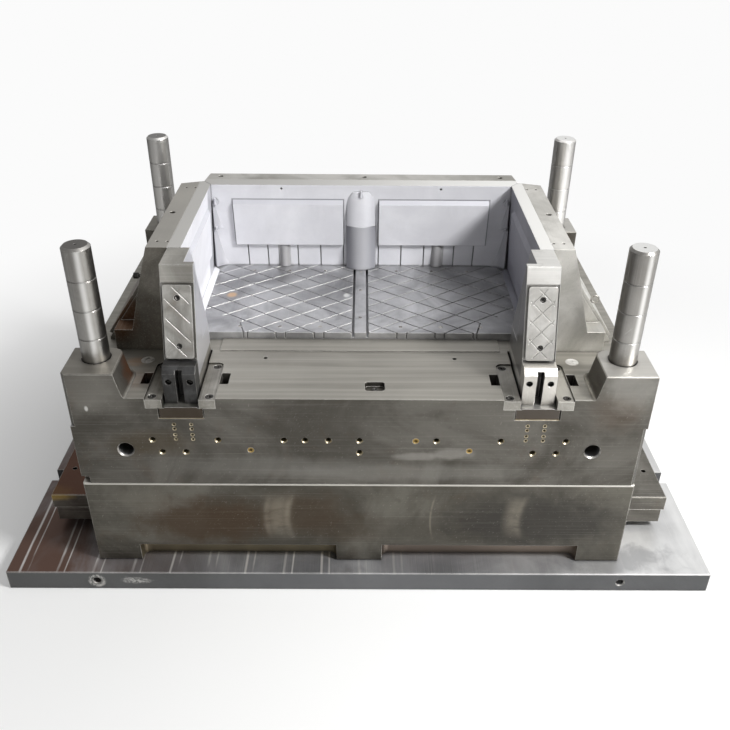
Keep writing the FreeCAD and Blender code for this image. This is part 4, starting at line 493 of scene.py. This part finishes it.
pillar_steel = tool_steel("polished_pillar_steel", "a3a19d", "8c8985", grain=(5.0, 5.0, 240.0),
                          metal=0.95, rough=0.30, cloud_mm=220.0, rust="6b655c", rust_share=0.12,
                          lines=0.20, edge="e2e0dc", edge_share=0.2, flecks=0.1,
                          extra=pillar_shade_and_highlight)
dress(pillar_steel, *[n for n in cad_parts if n.startswith("guide_pillar_")])


# %% [markdown]
# ## Moulding space
# The faces that shape the plastic are fine-ground and polished with stone, so they look
# milky white, and the rim around them is only ground; the top of the rim is painted darker on the
# left and lighter on the right, as painted light. The stone doesn't reach the lower half of the
# middle column or the two short ribs, and they stay greyer. The sloping borders of the panels and
# the flanks of the columns are darkened with painted shade, and a thin dark line of painted shade
# runs along each raised panel. The whole insert on the right is a greyer copy of the same steel,
# painted shade for the side away from the light, and the floor too is stoned less finely and is
# greyer. The rib grooves of the floor that run up to the right get painted highlights, most of all
# on the left insert, and they are found from their slope and step.

# %% Walls of the moulding space
def ground_rim(tree, place, colour):
    x, y, z = add(tree, "SeparateXYZ", {}, {0: place}).outputs
    top = between(tree, facing(tree)[2], 0.8, 0.95)
    # painted light: the top of the rim goes from darker on the left to lighter on the right
    shade = lay_over(tree, linear("a3a19c"), linear("d2d1cd"), between(tree, x, -0.3, 0.45))
    return lay_over(tree, colour, shade, top, between(tree, z, 0.780, 0.789), 0.9)


def cavity_tones_and_shade(tree, place, colour):
    x, y, z = add(tree, "SeparateXYZ", {}, {0: place}).outputs
    aside = folded_axes(tree, place)[0]
    turn, toward, up = facing(tree)
    rear = between(tree, y, 0.10, 0.12)

    column = overlap(tree, between(tree, aside, 0.038, 0.042, 1.0, 0.0), rear)
    low = overlap(tree, column, between(tree, z, 0.674, 0.677, 1.0, 0.0))
    colour = lay_over(tree, colour, linear("a8a8ac"), low, 0.8)
    # painted shade on the flanks of the lower column
    its_flanks = overlap(tree, low, between(tree, aside, 0.018, 0.040, 0.0, 0.5))
    colour = lay_over(tree, colour, linear("6c6c72"), its_flanks)

    # painted shade on the sloping borders that face upwards
    slope = overlap(tree, between(tree, up, 0.35, 0.45), between(tree, up, 0.80, 0.90, 1.0, 0.0), 0.65)
    colour = lay_over(tree, colour, linear("b0b0b7"), slope)
    # painted shade on faces turned sideways, the flanks of the columns and panels
    turned = overlap(tree, between(tree, distance(tree, turn, 0.0), 0.12, 0.60), rear, 0.6)
    colour = lay_over(tree, colour, linear("84848b"), turned)
    rib = overlap(tree, between(tree, distance(tree, aside, 0.2115), 0.016, 0.018, 1.0, 0.0), rear)
    short = overlap(tree, rib, between(tree, z, 0.612, 0.616, 1.0, 0.0), 0.65)
    colour = lay_over(tree, colour, linear("8f8d8b"), short)

    # the panels are 0.293 m wide and 0.132 m tall, with their middles at x 0.1945 and z 0.683
    past_side = {0: distance(tree, aside, 0.1945), 1: 0.1465}
    past_top = {0: distance(tree, z, 0.683), 1: 0.066}
    outside = either(tree, add(tree, "Math", {"operation": "SUBTRACT"}, past_side).outputs[0],
                     add(tree, "Math", {"operation": "SUBTRACT"}, past_top).outputs[0])
    # painted shade: a thin dark line just outside each raised panel
    line = overlap(tree, between(tree, outside, -0.0010, 0.0002),
                   between(tree, outside, 0.0018, 0.0042, 1.0, 0.0), rear, 0.75)
    colour = lay_over(tree, colour, linear("6f6f76"), line)
    return ground_rim(tree, place, colour)


cavity_steel = tool_steel("stoned_cavity_steel", "f0f0f4", "dfdfe4", grain=(30.0, 30.0, 120.0),
                          metal=0.1, rough=0.45, cloud_mm=320.0, rust="b5b1aa", rust_share=0.10,
                          edge="f4f4f4", edge_share=0.3, lines=0.05, flecks=0.1, corner_shade=0.75,
                          corner=0.007, extra=cavity_tones_and_shade)
dress(cavity_steel, "left_cavity_insert", "rear_cavity_insert")
# painted shade: a greyer copy of the cavity steel for the insert on the right, away from the light
shaded_right_cavity = tool_steel("shaded_right_cavity_steel", "acacb4", "9898a1",
                          grain=(30.0, 30.0, 120.0), metal=0.1, rough=0.5, cloud_mm=320.0,
                          rust="9c988f", rust_share=0.12, edge="dcdcde", edge_share=0.3,
                          lines=0.05, flecks=0.1, corner_shade=0.8, extra=ground_rim)
dress(shaded_right_cavity, "right_cavity_insert")

# %% Rib grooves in the floor
RIB_SLOPE, RIB_STEP = 0.74, 0.092
FLOOR_FRONT = -0.198
# from x to x of each insert, where its first rib meets the front edge, and how strong the painted
# highlight on its ribs is
INSERTS = ((-0.39, -0.02, -0.088, 0.85), (0.02, 0.39, 0.111, 0.35))


def painted_rib_highlights(tree, place, colour):
    x, y, z = add(tree, "SeparateXYZ", {}, {0: place}).outputs
    aside = folded_axes(tree, place)[0]
    # slid along the ribs to the middle line of the floor, a point tells which rib it is on
    slide = {0: y, 1: -1 / RIB_SLOPE, 2: x}
    slid = add(tree, "Math", {"operation": "MULTIPLY_ADD"}, slide).outputs[0]
    # the outer front corner of each insert is plain: its border runs from x 0.296 to x 0.390
    lean = {0: aside, 1: -0.69, 2: y}
    border = add(tree, "Math", {"operation": "MULTIPLY_ADD"}, lean).outputs[0]
    ribbed = either(tree, between(tree, border, -0.351, -0.347),
                    between(tree, aside, 0.286, 0.290, 1.0, 0.0))
    fade = between(tree, y, -0.196, -0.150)
    for left, right, first, share in INSERTS:
        start = (first - FLOOR_FRONT / RIB_SLOPE) / RIB_STEP
        count = {0: slid, 1: 1 / RIB_STEP, 2: 0.5 - start}
        steps = add(tree, "Math", {"operation": "MULTIPLY_ADD"}, count).outputs[0]
        part = add(tree, "Math", {"operation": "FRACT"}, {0: steps}).outputs[0]
        line = between(tree, distance(tree, part, 0.5), 0.022, 0.034, 1.0, 0.0)
        on_insert = overlap(tree, between(tree, x, left, left + 0.001),
                            between(tree, x, right - 0.001, right, 1.0, 0.0), ribbed)
        # painted highlight along each rib groove
        bright = overlap(tree, line, fade, on_insert, share)
        colour = lay_over(tree, colour, linear("f3f2ef"), bright)
    return colour


floor_steel = tool_steel("fine_ground_floor_steel", "bdbdbf", "8f8f91", grain=(2.0, 160.0, 2.0),
                         metal=0.7, rough=0.36, cloud_mm=150.0, rust="8f8a80", rust_share=0.15,
                         edge="efeeec", edge_share=0.6, lines=0.12, last=painted_rib_highlights,
                         patches=[((-0.335, 0.0, 0.55), (0.018, 0.020, 0.02), "d9b48c", 0.85),
                                  ((-0.037, 0.0, 0.55), (0.012, 0.016, 0.02), "f6f6f4", 0.95)])
dress(floor_steel, "floor_insert_left", "floor_insert_right", "floor_centre_bar")


# %% [markdown]
# ## Slides
# The blocks behind the walls are milled and ground. The left one has stood longest without oil,
# and only its top edge has stayed pale. The right one is a lighter copy of the same steel, painted
# light for the side the light comes from.

# %% Wall slides
def pale_rim(tree, place, colour):
    height = add(tree, "SeparateXYZ", {}, {0: place}).outputs[2]
    top = between(tree, facing(tree)[2], 0.8, 0.95)
    return lay_over(tree, colour, linear("aeaba5"), top, between(tree, height, 0.70, 0.75), 0.75)


left_steel = tool_steel("left_slide_steel", "8d8981", "605c54", grain=(3.0, 420.0, 3.0), rough=0.50,
                        rust="5f4431", rust_share=0.45, lines=0.25, extra=pale_rim,
                        patches=[((-0.56, -0.2, 0.60), (0.07, 0.2, 0.06), "5d4029", 0.85)])
dress(left_steel, "left_slide_block", "left_heel_plate")
# painted light: the right slide is a lighter copy of the slide steel
lit_right_steel = tool_steel("lit_right_slide_steel", "d6d4cf", "adaba5", grain=(3.0, 420.0, 3.0), rough=0.50,
                         rust="6d5a48", rust_share=0.20, lines=0.25)
dress(lit_right_steel, "right_slide_block", "right_heel_plate")
rear_steel = tool_steel("rear_slide_steel", "c0beba", "96948e", grain=(420.0, 3.0, 3.0), rough=0.50,
                        rust="6d5a48", rust_share=0.15, lines=0.28)
dress(rear_steel, "rear_slide_block", "rear_heel_plate")


# %% [markdown]
# ## Corner slides
# Each post is milled on the outside and painted lighter towards the right, as painted light. The
# flank towards the moulding space is stoned like the walls and bright on the left post; on the right
# post it is darkened with painted shade. The toe at the front has a dark oil stain, deepened with
# painted shade. The wear plates are ground in small strokes, one coupling block is bright and one is
# blackened, and the gibs and rails are hardened and ground along their length. The bright coupling
# block is painted lighter still, and the wear plates, gibs and rails lighter towards the right, as
# painted light.

# %% Corner slides and what guides them
def flanks_and_feet(tree, place, colour):
    x, y, z = add(tree, "SeparateXYZ", {}, {0: place}).outputs
    turn = facing(tree)[0]
    above = between(tree, z, 0.548, 0.556)
    left = overlap(tree, between(tree, x, -0.01, 0.0, 1.0, 0.0), between(tree, turn, 0.75, 0.95), above)
    colour = lay_over(tree, colour, linear("e8e8ec"), left, 0.92)
    # painted shade on the inward flank of the right post
    inward = between(tree, turn, -0.95, -0.75, 1.0, 0.0)
    right = overlap(tree, between(tree, x, 0.0, 0.01), inward, above)
    colour = lay_over(tree, colour, linear("6d6c6d"), right, 0.7)
    # a dark brown oil stain on the toe, made darker with painted shade for the recess under the gib
    front = between(tree, y, -0.4520, -0.4510, 1.0, 0.0)
    toe = overlap(tree, front, between(tree, z, 0.520, 0.524, 1.0, 0.0), 0.92)
    return lay_over(tree, colour, linear("34291d"), toe)


post_steel = tool_steel("milled_post_steel", "bcb9b2", "918e87", grain=(420.0, 3.0, 3.0),
                        rough=0.38, rust_share=0.2, lines=0.3, right_side_light=1.0, edge="efeeeb",
                        extra=flanks_and_feet)
dress(post_steel, "left_corner_slide", "right_corner_slide")
# the right coupling block is pale steel, painted lighter still as painted light from the right
coupling_steel = tool_steel("bright_coupling_steel", "dad6cf", "b1aea7", grain=(3.0, 3.0, 300.0),
                            rough=0.38, rust_share=0.15, lines=0.2, edge="efeeeb", corner=0.035,
                            corner_shade=0.95)
dress(coupling_steel, "right_coupling_block")
gib_steel = tool_steel("hardened_gib_steel", "9c9992", "6e6b64", grain=(3.0, 300.0, 3.0),
                       rough=0.36, rust_share=0.15, lines=0.3, edge="e0ddd6", right_side_light=0.3)
dress(gib_steel, "left_inner_gib", "left_outer_gib", "right_inner_gib", "right_outer_gib",
      "left_slide_rails", "right_slide_rails", "rear_slide_rails", "stop_buttons")
wear_steel = tool_steel("wear_plate_steel", "c8c6c1", "9c9993", grain=(2.0, 60.0, 60.0),
                        rough=0.38, rust="a08a6e", rust_share=0.3, lines=0.15, cloud_mm=60.0,
                        edge="e6e5e2", edge_share=0.6, right_side_light=0.4, corner_shade=0.25)
dress(wear_steel, "left_corner_plate", "right_corner_plate")
black_steel = tool_steel("blackened_steel", "4b4b4b", "302f2e", grain=(3.0, 3.0, 60.0),
                         metal=0.6, rough=0.42, rust="4a3a2c", rust_share=0.15, edge="8d8b87",
                         edge_share=0.5, lines=0.08, cloud_mm=40.0)
dress(black_steel, "left_coupling_block")


# %% [markdown]
# ## Small pieces
# Screws are black oxide and pins are ground bright. The strips under the slides and the guide
# bushes are bronze, and the plugs are turned brass. All come from the same layers, with a finer
# grain.

# %% Screws, pins and fittings
screw_steel = tool_steel("black_oxide_screw_steel", "3b3a38", "1f1e1d", grain=(1.0, 1.0, 8.0),
                         metal=0.7, rough=0.38, cloud_mm=9.0, rust="5a4030", rust_share=0.2,
                         edge="9a9792", edge_share=0.6, lines=0.1)
dress(screw_steel, *[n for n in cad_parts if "screw" in n], "left_hose_knob")
pin_steel = tool_steel("ground_pin_steel", "bdbab4", "8f8c86", grain=(30.0, 30.0, 0.8),
                       metal=1.0, rough=0.28, cloud_mm=30.0, rust_share=0.15, lines=0.2)
dress(pin_steel, "ejector_pins", "ejector_guide_pins", "support_pillars", "right_eye_ring")
bright_pin = tool_steel("polished_pin_steel", "f0efed", "c9c7c3", grain=(2.0, 2.0, 30.0),
                        metal=0.5, rough=0.3, cloud_mm=12.0, rust_share=0.1, lines=0.1)
dress(bright_pin, "return_pins")
bronze = tool_steel("bearing_bronze", "b08d4e", "7d6232", grain=(30.0, 2.0, 2.0), metal=0.9, rough=0.36,
                    cloud_mm=50.0, rust="5c4a2a", rust_share=0.2, edge="dcc084", lines=0.15)
dress(bronze, "slide_wear_strips", "ejector_guide_bushes")
brass = tool_steel("turned_brass", "b99b58", "8a7040", grain=(8.0, 1.0, 1.0), metal=0.95,
                   rough=0.32, cloud_mm=12.0, rust="5c4a2a", rust_share=0.2, edge="e0cb94", lines=0.2)
dress(brass, "water_plugs")


# %% [markdown]
# ## Deburred port mouths
# Every drilled port was broken at its mouth with a countersink, and that narrow cone is the
# brightest thing on the front face. Each one is a short open cone, wide end outwards. All are
# drawn into one mesh in edit mode, then the normals are turned to face the hole. The big mouths
# beyond x 0.49, of the lifting holes and the clamp plate's eye bolts, are a plainer grey.

# %% Countersunk mouths
def mouths(name, rings):
    bpy.ops.object.select_all(action="DESELECT")
    bpy.ops.mesh.primitive_circle_add(radius=0.001, location=(0, 0, 0))
    piece = bpy.context.object
    piece.name = name
    bpy.ops.object.mode_set(mode="EDIT")
    bpy.ops.mesh.delete(type="VERT")
    for x, front, z, outer, inner, proud, deep, faces in rings:
        for face in faces:
            middle = (x, face * (front + (proud - deep) / 2), z)
            bpy.ops.mesh.primitive_cone_add(vertices=28, radius1=outer, radius2=inner,
                                            depth=proud + deep, end_fill_type="NOTHING",
                                            location=middle, rotation=(face * math.pi / 2, 0, 0))
    bpy.ops.mesh.select_all(action="SELECT")
    bpy.ops.mesh.flip_normals()
    bpy.ops.mesh.faces_shade_smooth()
    bpy.ops.object.mode_set(mode="OBJECT")
    return piece


BODY_FACE, PLATE_FACE = 0.455, 0.500
port_x = (-0.459, -0.314, -0.168, -0.121, -0.069, 0.0, 0.171, 0.314, 0.459)
ports = [(x, 0.420) for x in port_x] + [(x, 0.3865) for x in (-0.441, -0.388, 0.0, 0.388, 0.441)]
bracket_holes = [(side * 0.388 + x, z) for side in (-1, 1) for x in (-0.019, 0.019)
                 for z in (0.422, 0.434, 0.450, 0.462)]

# x, face, z, outer and inner radius, how far it stands proud and reaches in, on which sides
rings = [(x, BODY_FACE, z, 0.0080, 0.0058, 0.0004, 0.0026, (-1, 1)) for x, z in ports]
rings += [(x, BODY_FACE, z, 0.0047, 0.0030, 0.0005, -0.0001, (-1,)) for x, z in bracket_holes]
for side in (-1, 1):
    rings.append((side * 0.522, BODY_FACE, 0.392, 0.0196, 0.0170, 0.0004, 0.0030, (-1, 1)))
for side in (-1, 1):
    rings.append((side * 0.634, PLATE_FACE, 0.0275, 0.0118, 0.0092, -0.0001, 0.0030, (-1, 1)))
port_rims = mouths("port_mouth_chamfers", rings)


def plainer_big_mouths(tree, place, colour):
    big = between(tree, folded_axes(tree, place)[0], 0.49, 0.50)
    return lay_over(tree, colour, linear("a3a2a0"), big, 0.85)


mouth_steel = tool_steel("countersunk_steel", "c6bba0", "8d826b", grain=(2.0, 2.0, 2.0), metal=0.8,
                         rough=0.34, cloud_mm=14.0, rust="7a6142", rust_share=0.4, flecks=0.0,
                         corner_shade=0.0, edge="f0ead9", lines=0.1, extra=plainer_big_mouths)
port_rims.data.materials.append(mouth_steel)
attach(port_rims, "base")
print(sum(len(ring[-1]) for ring in rings), "countersunk mouths on the long faces")


# %% [markdown]
# ## Studio
# The floor is matt and pale. Seen directly it turns to plain white away from the mould, but it
# still lights the mould from below as pale paper would.

# %% Floor
bpy.ops.object.select_all(action="DESELECT")
bpy.ops.mesh.primitive_plane_add(size=30, location=(0, 0, 0))
floor = bpy.context.object
floor.name = "studio_floor"
floor_paint = bpy.data.materials.new("pale_studio_floor")
floor_paint.use_nodes = True
tree = floor_paint.node_tree
shader = tree.nodes["Principled BSDF"]
shader.inputs["Base Color"].default_value = linear("f1f1f0")
shader.inputs["Roughness"].default_value = 0.9
spot = add(tree, "TexCoord").outputs["Object"]
far = add(tree, "VectorMath", {"operation": "LENGTH"}, {0: spot}).outputs[1]
seen_directly = add(tree, "LightPath").outputs["Is Camera Ray"]
glow = overlap(tree, between(tree, far, 0.7, 2.2, 0.25, 1.0), seen_directly)
paper = add(tree, "Emission", {}, {"Color": linear("fbfbfb"), "Strength": 1.0})
blend = add(tree, "MixShader", {}, {0: glow, 1: shader.outputs[0], 2: paper.outputs[0]})
tree.links.new(blend.outputs[0], tree.nodes["Material Output"].inputs["Surface"])
floor.data.materials.append(floor_paint)
print("floor ready")


# %% [markdown]
# Three lamps light the mould: a strong one at the right like a window, which draws the shadows, a
# wide soft box overhead and a weak panel in front. The world is the pale room around them. Seen
# directly it is plain white. Mirrored in the metal it is bright on the right and dimmer on the
# left, and on matt faces it gives only a faint fill.

# %% World and lamps
world = bpy.data.worlds.new("studio_world")
world.use_nodes = True
bpy.context.scene.world = world
tree = world.node_tree
ray = add(tree, "LightPath").outputs
aim = add(tree, "TexCoord").outputs["Generated"]
to_right = add(tree, "SeparateXYZ", {}, {0: aim}).outputs[0]
side = between(tree, to_right, -0.8, 0.8, 0.38, 1.02)
mirrored = overlap(tree, ray["Is Glossy Ray"], side)
fill = overlap(tree, side, 0.17)
strength = either(tree, ray["Is Camera Ray"], ray["Is Transmission Ray"], mirrored, fill)
background = tree.nodes["Background"]
background.inputs["Color"].default_value = linear("fafafa")
tree.links.new(strength, background.inputs["Strength"])


def lamp(name, place, target, size, power):
    data = bpy.data.lights.new(name, "AREA")
    data.shape = "RECTANGLE"
    data.size, data.size_y = size
    data.energy = power
    thing = bpy.data.objects.new(name, data)
    bpy.context.scene.collection.objects.link(thing)
    thing.location = place
    thing.rotation_euler = (Vector(target) - Vector(place)).to_track_quat("-Z", "Y").to_euler()


# the last number is the power in watts
lamp("right_window", (2.5, -1.6, 3.2), (0, 0, 0.6), (0.8, 0.8), 205)
lamp("top_box", (0.3, 0.9, 3.3), (0, 0, 0.5), (2.6, 2.6), 22)
lamp("front_panel", (0.6, -3.5, 2.0), (0, 0, 0.3), (2.4, 1.6), 12)
print("studio ready")
